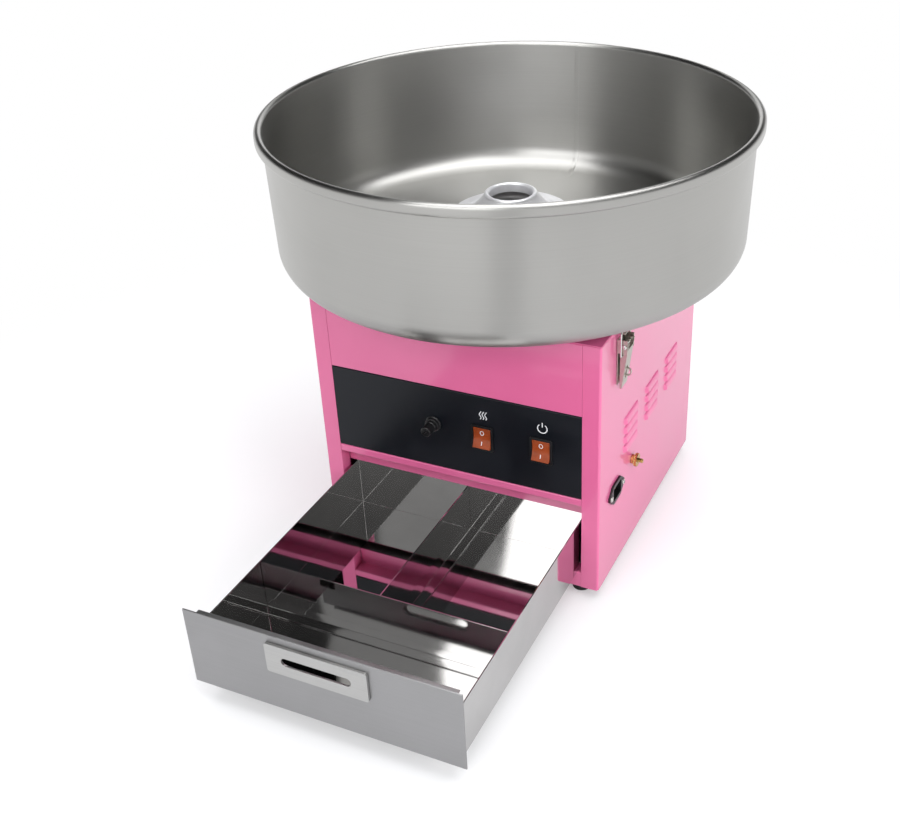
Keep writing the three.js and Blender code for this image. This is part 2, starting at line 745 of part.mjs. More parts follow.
function makeLatch(machine, side) {
  const group = new THREE.Group();
  const sign = side === 'right' ? 1 : -1;
  group.position.set(sign * halfWidth, latchY, 0);
  group.rotation.z = side === 'right' ? 0 : Math.PI;
  machine.add(group);
  const name = (piece) => `latch_${side}_${piece}`;
  const baseHalf = latchBaseWidth / 2;
  const plateFace = seat + sheet;
  const pinClear = latchPinRadius + seat;
  const acrossPin = alongY(bar(pinClear, -baseHalf - 2, baseHalf + 2, 12))
    .translate([latchPivotReach, 0, latchPivotZ]);

  const basePath = [
    [latchEarReach, baseHalf],
    [seat, baseHalf],
    [seat, -baseHalf],
    [latchEarReach, -baseHalf],
  ];
  const eyeMiddle = (eyeBottom + eyeTop) / 2;
  const eyeRadius = (eyeTop - eyeBottom) / 2;
  const eyeEnd = eyeReach - eyeRadius;
  const eye = block([plateFace - sheet / 2, eyeEnd], [-eyeThickness / 2, eyeThickness / 2], [eyeBottom, eyeTop])
    .add(alongY(bar(eyeRadius, -eyeThickness / 2, eyeThickness / 2, 20)).translate([eyeEnd, 0, eyeMiddle]))
    .subtract(alongY(bar(eyeHoleRadius, -eyeThickness, eyeThickness, 16)).translate([eyeEnd, 0, eyeMiddle]));
  const base = extrude(bentSheet(basePath), 'z', latchBaseBottom, latchBaseTop)
    .subtract(block(
      [plateFace, latchEarReach + 1],
      [-baseHalf - 1, baseHalf + 1],
      [latchBaseBottom - 1, latchEarBottom],
    ))
    .subtract(acrossPin)
    .add(eye);
  place(group, name('base'), base, 'latchSteel');

  const leverHalf = leverWidth / 2;
  const leverFlank = new THREE.Shape([
    new THREE.Vector2(leverInner, leverBottom),
    new THREE.Vector2(leverTipOuter, leverBottom),
    new THREE.Vector2(leverOuter, leverTop),
    new THREE.Vector2(leverInner + leverChamfer, leverTop),
    new THREE.Vector2(leverInner, leverTop - leverChamfer),
  ]);
  const lean = (leverOuter - leverTipOuter) / (leverTop - leverBottom);
  const leverHollow = new THREE.Shape([
    new THREE.Vector2(leverInner - 1, leverBottom - 1),
    new THREE.Vector2(leverTipOuter - sheet - lean, leverBottom - 1),
    new THREE.Vector2(leverOuter - sheet + lean, leverTop + 1),
    new THREE.Vector2(leverInner - 1, leverTop + 1),
  ]);
  const bailX = latchPivotReach - bailOffset;
  const bailZ = latchPivotZ - bailDrop;
  const slotHeights = [eyeBottom - eyeSlotBelow, eyeTop + eyeSlotAbove];
  const lever = extrude(leverFlank, 'y', -leverHalf, leverHalf)
    .subtract(extrude(leverHollow, 'y', -leverHalf + sheet, leverHalf - sheet))
    .subtract(block(
      [latchPivotReach, leverOuter + 1],
      [-leverHalf + sheet, leverHalf - sheet],
      [leverWebTop, leverTop + 1],
    ))
    .subtract(block([leverInner, leverOuter + 1], [-eyeThickness, eyeThickness], slotHeights))
    .subtract(acrossPin)
    .subtract(alongY(bar(bailWire + seat, -leverHalf - 1, leverHalf + 1, 12)).translate([bailX, 0, bailZ]));
  place(group, name('lever'), lever, 'latchSteel');

  const headInner = baseHalf + seat;
  const headOuter = headInner + 0.9;
  const pin = revolve([
    [0, -headOuter],
    [latchPinHead, -headOuter],
    [latchPinHead, -headInner],
    [latchPinRadius, -headInner],
    [latchPinRadius, headInner],
    [latchPinHead, headInner],
    [latchPinHead, headOuter],
    [0, headOuter],
  ], 12);
  place(group, name('pin'), alongY(pin).translate([latchPivotReach, 0, latchPivotZ]), 'latchSteel');

  const bailEnd = leverHalf - sheet - 1;
  const bail = bentWire([
    new THREE.Vector3(bailX, -bailEnd, bailZ),
    new THREE.Vector3(bailX, -bailHalfWidth, bailZ),
    new THREE.Vector3(bailX, -bailHalfWidth, bailZ + bailLength),
    new THREE.Vector3(bailX, bailHalfWidth, bailZ + bailLength),
    new THREE.Vector3(bailX, bailHalfWidth, bailZ),
    new THREE.Vector3(bailX, bailEnd, bailZ),
  ], bailWire, 2, 42);
  place(group, name('bail'), bail, 'latchSteel');

  const footFace = bowlBottom - seat;
  const tongueTop = bailZ + bailLength - bailWire - keeperPlay;
  const keeperPath = [
    [keeperStandoff + keeperFoot, footFace],
    [keeperStandoff, footFace],
    [keeperStandoff, tongueTop - sheet],
    [keeperStandoff + keeperTongue, tongueTop - sheet],
  ];
  place(group, name('keeper'),
    extrude(bentSheet(keeperPath), 'y', -keeperWidth / 2, keeperWidth / 2), 'latchSteel');
}

// Bowl and the ring that it stands on

function makeBowl(machine) {
  const beadCentre = rimRadius - beadRadius;
  const beadZ = rimTop - beadRadius;
  const wallTopInner = beadCentre - beadRadius;
  const wallTopOuter = wallTopInner + sheet;
  const meet = THREE.MathUtils.radToDeg(Math.acos((beadCentre - wallTopOuter) / beadRadius));
  const cornerCentre = bowlFloorEdgeRadius - bowlCorner;
  const cornerZ = bowlBottom + sheet + bowlCorner;
  const outline = [
    [bowlHoleRadius, bowlBottom],
    ...arcPoints(cornerCentre, cornerZ, bowlCorner + sheet, -90, 0, 5),
    ...arcPoints(beadCentre, beadZ, beadRadius, -180 + meet, 0, 3),
    ...arcPoints(beadCentre, beadZ, beadRadius, 0, 180, 4).slice(1),
    ...arcPoints(cornerCentre, cornerZ, bowlCorner, 0, -90, 5),
    [bowlHoleRadius + sheet, bowlBottom + sheet],
    [bowlHoleRadius + sheet, bowlBottom + bowlLip],
    [bowlHoleRadius, bowlBottom + bowlLip],
  ];
  place(machine, 'bowl', revolve(outline, 48), 'stainless');

  const ringPath = [
    [seatRingRadius + seatRingFlange, cabinetTop + seat],
    [seatRingRadius, cabinetTop + seat],
    [seatRingRadius, bowlBottom - seat],
    [seatRingRadius + seatRingFlange, bowlBottom - seat],
  ].reverse();
  const ring = revolve(bentSheet(ringPath).getPoints().map((point) => [point.x, point.y]), 24);
  place(machine, 'bowl_seat', ring, 'zincSteel');
}

// Floss head: everything here turns about Z with the shaft

function makeHead(machine) {
  const bore = shaftRadius + seat;
  const rimTopZ = headBaseZ + headBaseThickness + headRimHeight / 2;
  const gauzeInner = headRadius - 2 * sheet - 2 * seat;
  const gauzeOuter = gauzeInner + sheet;
  const base = revolve([
    [bore, headBaseZ - headHubDrop],
    [headHubRadius, headBaseZ - headHubDrop],
    [headHubRadius, headBaseZ],
    [headRadius, headBaseZ],
    [headRadius, rimTopZ],
    [gauzeInner, rimTopZ],
    [gauzeInner, headBaseZ + headBaseThickness],
    [headHubRadius, headBaseZ + headBaseThickness],
    [headHubRadius - 2, headBaseZ + headBaseThickness + headHubRise],
    [bore, headBaseZ + headBaseThickness + headHubRise],
  ]);
  place(machine, 'head_base', base, 'castAluminium');

  const gauzeBottom = rimTopZ + seat;
  let gauze = revolve([
    [gauzeInner, gauzeBottom],
    [gauzeOuter, gauzeBottom],
    [gauzeOuter, gauzeTop],
    [gauzeInner, gauzeTop],
  ], gauzeSlots);
  const slot = block([gauzeInner - 1, gauzeOuter + 1], [-gauzeSlotWidth / 2, gauzeSlotWidth / 2],
    [gauzeBottom + gauzeRail, gauzeTop - gauzeRail]);
  for (let i = 0; i < gauzeSlots; i += 1) {
    gauze = gauze.subtract(slot.rotate([0, 0, (i + 0.5) * 360 / gauzeSlots]));
  }
  place(machine, 'gauze_band', gauze, 'gauzeSteel');

  // The heating ribbon zigzags between two radii on its way round
  const zigzag = (offset) => Array.from({ length: 2 * heaterFolds }, (_, i) => {
    const radius = (i % 2 ? heaterOuter : heaterInner) + offset;
    const angle = Math.PI * i / heaterFolds;
    return new THREE.Vector2(radius * Math.cos(angle), radius * Math.sin(angle));
  });
  const ribbon = new THREE.Shape(zigzag(heaterRibbon / 2));
  ribbon.holes.push(new THREE.Path(zigzag(-heaterRibbon / 2).reverse()));
  const ribbonBottom = headBaseZ + headBaseThickness + seat;
  place(machine, 'heater_element', extrude(ribbon, 'z', ribbonBottom, ribbonBottom + heaterHeight), 'ribbonAlloy');

  const ringBottom = gauzeTop + seat;
  const ring = revolve([
    [headRingBore, ringBottom],
    [gauzeOuter + seat, ringBottom],
    [gauzeOuter + seat, ringBottom - headRingSkirt],
    [headRadius, ringBottom - headRingSkirt],
    [headRadius, headRingTop - 1],
    [headRadius - 1, headRingTop],
    [headRingBore, headRingTop],
  ]);
  place(machine, 'head_ring', ring, 'castAluminium');

  // The sugar funnel: a foot, a flared dome and a rounded lip
  const footZ = headRingTop + seat;
  const lipZ = capTop - (capLipRadius - capBore) / 2;
  const lipMiddle = (capLipRadius + capBore) / 2;
  const lipRound = (capLipRadius - capBore) / 2;
  const flare = Array.from({ length: 7 }, (_, i) => {
    const turn = Math.PI / 2 * (1 - i / 6);
    const radius = capShoulderRadius - (capShoulderRadius - capLipRadius) * Math.cos(turn);
    return [radius, footZ + capFootThickness + (lipZ - footZ - capFootThickness) * (1 - Math.sin(turn))];
  });
  const cap = revolve([
    [headRingBore, footZ],
    [capFootRadius, footZ],
    [capFootRadius, footZ + capFootThickness],
    ...flare,
    ...arcPoints(lipMiddle, lipZ, lipRound, 0, 180, 5).slice(1),
    [capThroat, lipZ - capThroatDrop],
    [capThroat, lipZ - capThroatDrop - capThroatHeight],
    [headRingBore - capWall, footZ + capFootThickness / 2],
    [headRingBore - capWall, footZ],
  ]);
  place(machine, 'head_cap', cap, 'castAluminium');

  place(machine, 'motor_shaft', bar(shaftRadius, shaftBottom, shaftTop, 20), 'zincSteel');
  const tube = (inner, outer, from, to) => revolve([
    [inner, from],
    [outer, from],
    [outer, to],
    [inner, to],
  ], 20);
  place(machine, 'slip_ring_carrier', tube(bore, carrierRadius, carrierBottom, carrierTop), 'brownBoard');
  for (const [name, z] of [['slip_ring_lower', slipRingLowerZ], ['slip_ring_upper', slipRingUpperZ]]) {
    const band = tube(carrierRadius + seat, slipRingRadius, z - slipRingHeight / 2, z + slipRingHeight / 2);
    place(machine, name, band, 'copper');
  }
}

function makeDrive(machine) {
  const bore = shaftRadius + seat;
  const motorBottom = motorTop - motorHeight;
  const bossTop = motorTop + seat + bracketSheet + motorBossRise / 2;
  const motor = revolve([
    [0, motorBottom],
    [motorRadius - motorFootInset, motorBottom],
    [motorRadius, motorBottom + motorCapRound],
    [motorRadius, motorTop - motorCapRound],
    [motorRadius - motorCapRound, motorTop],
    [motorBossRadius, motorTop],
    [motorBossRadius, bossTop],
    [bore, bossTop],
    [bore, shaftBottom - seat],
    [0, shaftBottom - seat],
  ], 24);
  place(machine, 'motor_housing', motor, 'motorPaint');

  const hangTop = cabinetTop - sheet - seat;
  const plateTop = motorTop + seat + bracketSheet;
  const bracketPath = [
    [bracketHalfSpan + bracketFoot, hangTop],
    [bracketHalfSpan, hangTop],
    [bracketHalfSpan, plateTop],
    [-bracketHalfSpan, plateTop],
    [-bracketHalfSpan, hangTop],
    [-bracketHalfSpan - bracketFoot, hangTop],
  ];
  const bracket = extrude(bentSheet(bracketPath, bracketSheet), 'y', -bracketHalfDepth, bracketHalfDepth)
    .subtract(bar(motorBossRadius + seat, plateTop - 2 * bracketSheet, plateTop + 1, 24));
  place(machine, 'motor_bracket', bracket, 'zincSteel');

  let brushBlock = block(
    [brushBlockInner, bracketHalfSpan - seat],
    [-brushBlockHalfDepth, brushBlockHalfDepth],
    [slipRingLowerZ - brushBlockMargin, slipRingUpperZ + brushBlockMargin],
  );
  const brushTip = slipRingRadius + seat;
  const brush = (grow, to) => block([brushTip, to], [-brushWidth / 2 - grow, brushWidth / 2 + grow],
    [-brushWidth / 2 - grow, brushWidth / 2 + grow]);
  for (const [name, z] of [['brush_lower', slipRingLowerZ], ['brush_upper', slipRingUpperZ]]) {
    brushBlock = brushBlock.subtract(brush(seat, brushTip + brushLength + 6).translate([0, 0, z]));
    place(machine, name, brush(0, brushTip + brushLength), 'carbon').position.z = z;
  }
  place(machine, 'brush_block', brushBlock, 'brownBoard');
}

// Drawer: y = 0 here is the back face of its front, and z is the cabinet's own

function makeDrawer(machine) {
  const drawer = new THREE.Group();
  drawer.position.y = drawerBack;
  machine.add(drawer);

  const half = drawerWidth / 2;
  const tab = block([half - drawerTab, half], [seat, seat + sheet], [drawerBottom, drawerTop]);
  const box = block([-half, half], [seat, drawerLength], [drawerBottom, drawerTop])
    .subtract(block(
      [-half + sheet, half - sheet],
      [-1, drawerLength - sheet],
      [drawerBottom + sheet, drawerTop + 1],
    ))
    .add(tab)
    .add(tab.mirror([1, 0, 0]));
  place(drawer, 'drawer_box', box, 'stainless');

  const frontHalf = openingHalf + drawerFrontLap;
  const frontBottom = drawerBottom - drawerFrontDrop;
  const frontTop = frontBottom + drawerFrontHeight;
  const handleTop = frontTop - handleBelowTop;
  const handleZ = handleTop - handleHeight / 2;
  const slotThrough = (grow) => extrude(
    roundedRectangle(slotWidth + 2 * grow, slotHeight + 2 * grow, slotHeight / 2 + grow - 0.01),
    'y', -handleProud - 4 * sheet, 3 * sheet,
  ).translate([handleCentreX, 0, handleZ]);
  const front = block([-frontHalf, frontHalf], [-sheet, 0], [frontBottom, frontTop])
    .add(block([-frontHalf + drawerFlangeLeft, frontHalf - drawerFlangeRight],
      [-sheet, drawerFrontFlange - sheet], [frontTop - sheet, frontTop]))
    .subtract(slotThrough(slotMargin));
  place(drawer, 'drawer_front', front, 'stainless');

  const plateFace = -sheet - seat;
  const plate = (inset, from, to) => extrude(
    roundedRectangle(handleWidth - 2 * inset, handleHeight - 2 * inset, 2.5), 'y', from, to,
  ).translate([handleCentreX, 0, handleZ]);
  const handle = plate(0, plateFace - handleProud, plateFace)
    .subtract(plate(sheet, plateFace - handleProud + sheet, plateFace + 1))
    .subtract(slotThrough(0));
  place(drawer, 'handle_plate', handle, 'stainless');

  const dividerBottom = drawerBottom + sheet + seat;
  const crossBack = dividerSetback + sheet;
  const crossPath = [
    [crossBack - dividerFoot, dividerBottom],
    [crossBack, dividerBottom],
    [crossBack, drawerTop],
  ];
  const insideDrawer = half - sheet - seat;
  place(drawer, 'divider_cross', extrude(bentSheet(crossPath), 'x', -insideDrawer, insideDrawer), 'stainless');

  const longPath = [
    [dividerX - sheet / 2, drawerTop],
    [dividerX - sheet / 2, dividerBottom],
    [dividerX - sheet / 2 + dividerFoot, dividerBottom],
  ];
  const long = extrude(bentSheet(longPath), 'y', crossBack + seat, drawerLength - sheet - seat);
  place(drawer, 'divider_long', long, 'stainless');
}

// The whole machine stands centred over the origin with the drawer pulled out
const machine = new THREE.Group();
machine.position.y = originShift;
makeCabinet(machine);
makeControlPanel(machine);
makeSwitch(machine, 'switch_power', switchPowerX);
makeSwitch(machine, 'switch_heat', switchHeatX);
makeFuse(machine);
makeInlet(machine);
makeLatch(machine, 'right');
makeLatch(machine, 'left');
makeBowl(machine);
makeHead(machine);
makeDrive(machine);
makeDrawer(machine);

export default machine;
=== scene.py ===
import json
from math import acos, atan2, cos, degrees, pi, radians, sin

import bpy
from mathutils import Matrix, Vector


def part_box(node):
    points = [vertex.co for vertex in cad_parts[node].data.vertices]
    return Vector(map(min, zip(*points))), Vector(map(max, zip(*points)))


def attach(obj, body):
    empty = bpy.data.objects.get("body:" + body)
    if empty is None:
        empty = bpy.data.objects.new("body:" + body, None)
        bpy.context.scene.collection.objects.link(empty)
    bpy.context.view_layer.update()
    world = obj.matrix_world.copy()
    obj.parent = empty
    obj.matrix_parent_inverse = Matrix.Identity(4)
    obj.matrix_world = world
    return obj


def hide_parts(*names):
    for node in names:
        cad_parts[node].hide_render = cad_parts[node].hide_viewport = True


# Floss machine: the looks of every piece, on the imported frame. Metres, +Z up, front towards -Y.

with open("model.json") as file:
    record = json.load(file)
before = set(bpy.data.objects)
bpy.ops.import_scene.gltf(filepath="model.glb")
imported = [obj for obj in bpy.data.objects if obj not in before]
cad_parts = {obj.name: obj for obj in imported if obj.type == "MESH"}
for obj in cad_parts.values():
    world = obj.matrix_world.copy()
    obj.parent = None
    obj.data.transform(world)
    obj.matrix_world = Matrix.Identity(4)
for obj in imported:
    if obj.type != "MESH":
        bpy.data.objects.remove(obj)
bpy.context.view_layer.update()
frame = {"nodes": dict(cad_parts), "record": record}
nodes = frame["nodes"]

bowlLow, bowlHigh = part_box("bowl")

sheetMetal = 0.0012
axisY = (bowlLow.y + bowlHigh.y) / 2
spinAxis = (0, axisY, 0)  # the bowl and the head are turned about this line
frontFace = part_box("control_panel")[0].y  # face of the cabinet's front
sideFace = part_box("top_deck")[1].x  # face of the cabinet's right side
bodyOf = {node: body for body, members in frame["record"]["behaviour"]["bodies"].items() for node in members}
slotOf = {row["node"]: row["material_slot"] for row in frame["record"]["subparts"]}


# Camera and light

camera = {
    "focalPixels": 1235.2,
    "centre": (494.4, 405.1),  # principal point in the photo's frame
    "photo": (900, 839),
    "place": (0.5112, -1.0319, 0.8765),
    "turns": (25.56, -31.44, -2.08),  # yaw, pitch and roll in degrees
}


def addCamera():
    width, height = camera["photo"]
    bpy.ops.object.camera_add(location=camera["place"])
    piece = bpy.context.object
    piece.name = "camera"
    piece.data.sensor_fit = "HORIZONTAL"
    piece.data.sensor_width = 36
    piece.data.lens = camera["focalPixels"] / width * piece.data.sensor_width
    piece.data.shift_x = (width / 2 - camera["centre"][0]) / width
    piece.data.shift_y = (camera["centre"][1] - height / 2) / width
    yaw, pitch, roll = (radians(angle) for angle in camera["turns"])
    ahead = Vector((-sin(yaw) * cos(pitch), cos(yaw) * cos(pitch), sin(pitch)))
    right = Vector((cos(yaw), sin(yaw), 0))
    up = right.cross(ahead)
    tiltedRight = right * cos(roll) + up * sin(roll)
    tiltedUp = up * cos(roll) - right * sin(roll)
    turn = Matrix((tiltedRight, tiltedUp, -ahead)).transposed()
    piece.rotation_euler = turn.to_euler()
    piece.data.clip_start = 0.01
    piece.data.clip_end = 100
    bpy.context.scene.camera = piece


softBoxes = {  # place, size, watts and aim
    "top": ((0.25, 0.1, 2.3), (2.5, 2.05), 48, (0, 0.1, 0.2)),
    "front": ((-0.1, -2.6, 2), (2, 1.4), 25, (0, 0, 0.25)),
    "right": ((2.3, -0.9, 1.3), (1.5, 1.6), 39, (0, 0, 0.25)),
    "left": ((-2.2, -1.6, 1.2), (1.4, 1.4), 7, (0, 0, 0.25)),
    "fill": ((-1.3, -2.3, 2.1), (0.45, 1.5), 0.62, (0, -0.2, 0.05)),
    "backdrop": ((-1.15, 2.85, 1.45), (1.5, 1.2), 6, (0, 0, 0.47)),
}
unmirrored = ("right", "left")  # these two light the paint but don't show in the metal


def addSoftBoxes():
    for name, (place, size, watts, aim) in softBoxes.items():
        bpy.ops.object.light_add(type="AREA", location=place)
        lamp = bpy.context.object
        lamp.name = "softbox_" + name
        lamp.data.shape = "RECTANGLE"
        lamp.data.size, lamp.data.size_y = size
        lamp.data.energy = watts
        lamp.rotation_euler = (Vector(aim) - Vector(place)).to_track_quat("-Z", "Y").to_euler()
        lamp.visible_camera = False
        lamp.visible_glossy = name not in unmirrored


# Node helpers

nodeStep = 190  # nodes stand in a row, in the order in which they are made


def feed(tree, node, inputs):
    # each input gets a value, or a link from another node's output
    for name, value in inputs.items():
        if isinstance(value, bpy.types.NodeSocket):
            tree.links.new(value, node.inputs[name])
        else:
            node.inputs[name].default_value = value


def addNode(tree, kind, inputs=None, **settings):
    node = tree.nodes.new(kind if kind.startswith("NodeGroup") else "ShaderNode" + kind)
    node.location = (nodeStep * len(tree.nodes), 0)
    for name, value in settings.items():
        setattr(node, name, value)
    feed(tree, node, inputs or {})
    return node


def maths(tree, operation, *inputs):
    return addNode(tree, "Math", dict(enumerate(inputs)), operation=operation).outputs[0]


def vectors(tree, operation, *inputs):
    return addNode(tree, "VectorMath", dict(enumerate(inputs)), operation=operation).outputs


def levels(tree, value, ends, results=(0, 1), interpolation="LINEAR"):
    # maps a value from between the ends to between the results
    inputs = {"Value": value, "From Min": ends[0], "From Max": ends[1],
              "To Min": results[0], "To Max": results[1]}
    return addNode(tree, "MapRange", inputs, interpolation_type=interpolation).outputs["Result"]


def noise(tree, vector, **inputs):
    return addNode(tree, "TexNoise", {"Vector": vector, **inputs}).outputs["Fac"]


def newGroup(name, output, **inputs):
    # every effect takes a vector and the named inputs, and gives one value
    group = bpy.data.node_groups.new(name, "ShaderNodeTree")
    group.interface.new_socket(name="Vector", in_out="INPUT", socket_type="NodeSocketVector")
    for label, value in inputs.items():
        kind = "NodeSocketVector" if isinstance(value, tuple) else "NodeSocketFloat"
        group.interface.new_socket(name=label, in_out="INPUT", socket_type=kind).default_value = value
    group.interface.new_socket(name=output, in_out="OUTPUT", socket_type="NodeSocketFloat")
    return group, addNode(group, "NodeGroupInput").outputs, addNode(group, "NodeGroupOutput")


# Shared effects

grainRange = (0.3, 0.7)


def makeStraightGrain():
    # brush lines along one axis: the Stretch vector is small along the lines and large across them
    group, given, end = newGroup("straightGrain", "Lines", Stretch=(6, 900, 900))
    scaled = vectors(group, "MULTIPLY", given["Vector"], given["Stretch"])["Vector"]
    lines = noise(group, scaled, Scale=1, Detail=5, Roughness=0.65)
    feed(group, end, {"Lines": levels(group, lines, grainRange)})
    return group


def makeTurnedGrain():
    # brush lines that run round Z: noise over radius and height, which drifts slowly round the piece
    group, given, end = newGroup("turnedGrain", "Lines", Density=900, Drift=2.5)
    parts = addNode(group, "SeparateXYZ", {0: given["Vector"]}).outputs
    flat = addNode(group, "CombineXYZ", {"X": parts["X"], "Y": parts["Y"]}).outputs[0]
    radius = vectors(group, "LENGTH", flat)["Value"]
    across = maths(group, "MULTIPLY", radius, given["Density"])
    along = maths(group, "MULTIPLY", parts["Z"], given["Density"])
    drift = maths(group, "MULTIPLY", maths(group, "ADD", parts["X"], parts["Y"]), given["Drift"])
    spot = addNode(group, "CombineXYZ", {"X": across, "Y": along, "Z": drift}).outputs[0]
    lines = noise(group, spot, Scale=1, Detail=5, Roughness=0.6)
    feed(group, end, {"Lines": levels(group, lines, grainRange)})
    return group


def makeSmudges():
    # soft uneven patches, for finger marks, fading and handling
    group, given, end = newGroup("smudges", "Mask", Size=9)
    patches = noise(group, given["Vector"], Scale=given["Size"], Detail=3, Roughness=0.55, Distortion=0.6)
    feed(group, end, {"Mask": levels(group, patches, (0.38, 0.68), interpolation="SMOOTHSTEP")})
    return group


def makeFineSkin():
    # the close pebbling of powder paint, moulded plastic and castings
    group, given, end = newGroup("fineSkin", "Height", Size=900)
    vector, size = given["Vector"], given["Size"]
    inputs = {"Vector": vector, "Scale": size, "Smoothness": 1}
    pebbles = addNode(group, "TexVoronoi", inputs, feature="SMOOTH_F1").outputs["Distance"]
    grit = noise(group, vector, Scale=size, Detail=2)
    feed(group, end, {"Height": maths(group, "ADD", pebbles, grit)})
    return group


def makeScratches():
    # short hair scratches at two slants
    group, given, end = newGroup("scratches", "Mask", Size=30)
    cuts = []
    for slant in (0.35, -1.1):
        inputs = {"Vector": given["Vector"], "Scale": (1, 26, 26), "Rotation": (slant, slant * 0.6, slant)}
        slanted = addNode(group, "Mapping", inputs).outputs[0]
        lines = noise(group, slanted, Scale=given["Size"], Detail=2, Roughness=0.5)
        cuts.append(levels(group, lines, (0.66, 0.74)))
    feed(group, end, {"Mask": maths(group, "MAXIMUM", *cuts)})
    return group


straightGrain = makeStraightGrain()
turnedGrain = makeTurnedGrain()
smudges = makeSmudges()
fineSkin = makeFineSkin()
scratches = makeScratches()
print("shared effects: 5 node groups")


# Finishes

def newMaterial(name, **settings):
    # the vector is measured from the spin axis, so that turned grain runs round the bowl and the head
    material = bpy.data.materials.new(name)
    material.use_nodes = True
    tree = material.node_tree
    shader = tree.nodes["Principled BSDF"]
    feed(tree, shader, {label.replace("_", " "): value for label, value in settings.items()})
    place = addNode(tree, "TexCoord").outputs["Object"]
    centred = addNode(tree, "Mapping", {"Vector": place, "Location": (0, -axisY, 0)})
    return material, tree, shader, centred.outputs["Vector"]


def addEffect(tree, group, vector, **values):
    return addNode(tree, "Group", {"Vector": vector, **values}, node_tree=group).outputs[0]


def colourBetween(tree, mask, first, second):
    mix = addNode(tree, "Mix", data_type="RGBA")
    ends = [socket for socket in mix.inputs if socket.type == "RGBA"]
    ends[0].default_value = (*first, 1)
    ends[1].default_value = (*second, 1)
    tree.links.new(mask, mix.inputs["Factor"])
    return [socket for socket in mix.outputs if socket.type == "RGBA"][0]


def toned(colour, factor, lift=0):
    return tuple(min(1, channel * factor + lift) for channel in colour)


def addBump(tree, height, distance, strength, normal=None):
    inputs = {"Height": height, "Strength": strength, "Distance": distance}
    if normal:
        inputs["Normal"] = normal
    return addNode(tree, "Bump", inputs).outputs["Normal"]


def shade(tree, shader, colour, roughness, normal):
    feed(tree, shader, {"Base Color": colour, "Roughness": roughness, "Normal": normal})


def coated(name, colours, rough, patchSize, skinSize, skin=(0.00003, 0.4), **settings):
    # paint, plastic or glass: soft patches of two tones and a pebbled skin
    material, tree, shader, vector = newMaterial(name, **settings)
    patches = addEffect(tree, smudges, vector, Size=patchSize)
    pebbles = addEffect(tree, fineSkin, vector, Size=skinSize)
    shade(tree, shader, colourBetween(tree, patches, *colours), levels(tree, patches, (0, 1), rough),
          addBump(tree, pebbles, *skin))
    return material


def mouldedPlastic(name, colour, rough, skinSize=1200, **settings):
    tones = (colour, toned(colour, 1.25, 0.004))
    return coated(name, tones, rough, 40, skinSize, **settings)


def castMetal(name, colour, rough, skinSize, depth, metallic=1):
    material, tree, shader, vector = newMaterial(name, Metallic=metallic)
    patches = addEffect(tree, smudges, vector, Size=25)
    lines = addEffect(tree, turnedGrain, vector, Density=1600)
    pebbles = addEffect(tree, fineSkin, vector, Size=skinSize)
    shade(tree, shader, colourBetween(tree, patches, toned(colour, 0.86), colour),
          levels(tree, lines, (0, 1), rough), addBump(tree, pebbles, depth, 0.5))
    return material


def brushedMetal(name, colour, rough, lineDepth, anisotropy, grain, glint, patchSize, scratchSize):
    # grain is a shared effect and the values of its inputs
    gloss = {"Anisotropic": anisotropy, "Anisotropic_Rotation": 0.25}
    material, tree, shader, vector = newMaterial(name, Metallic=1, **gloss)
    group, inputs = grain
    lines = addEffect(tree, group, vector, **inputs)
    patches = addEffect(tree, smudges, vector, Size=patchSize)
    marks = addEffect(tree, scratches, vector, Size=scratchSize)
    worn = maths(tree, "ADD", lines, patches)
    brushing = addBump(tree, lines, lineDepth, 0.5)
    shade(tree, shader, colourBetween(tree, lines, colour, toned(colour, glint)),
          levels(tree, worn, (0, 1), rough), addBump(tree, marks, lineDepth, 0.3, brushing))
    if anisotropy:
        kind = "RADIAL" if group == turnedGrain else "UV_MAP"
        feed(tree, shader, {"Tangent": addNode(tree, "Tangent", direction_type=kind, axis="Z").outputs[0]})
    return material


def turnedSteel(name, colour, rough, density, anisotropy, lineDepth):
    # brushed round Z: the highlight is drawn out up the wall and across the floor
    grain = (turnedGrain, {"Density": density})
    return brushedMetal(name, colour, rough, lineDepth, anisotropy, grain,
                        glint=1.07, patchSize=7, scratchSize=24)


def straightSteel(name, colour, rough, stretch, lineDepth, anisotropy=0):
    grain = (straightGrain, {"Stretch": stretch})
    return brushedMetal(name, colour, rough, lineDepth, anisotropy, grain,
                        glint=1.1, patchSize=10, scratchSize=40)


def boardFinish():
    material, tree, shader, vector = newMaterial("brownBoard")
    weave = addEffect(tree, straightGrain, vector, Stretch=(150, 150, 2600))
    shade(tree, shader, colourBetween(tree, weave, (0.16, 0.075, 0.03), (0.27, 0.14, 0.06)),
          levels(tree, weave, (0, 1), (0.42, 0.6)), addBump(tree, weave, 0.0001, 0.4))
    return material


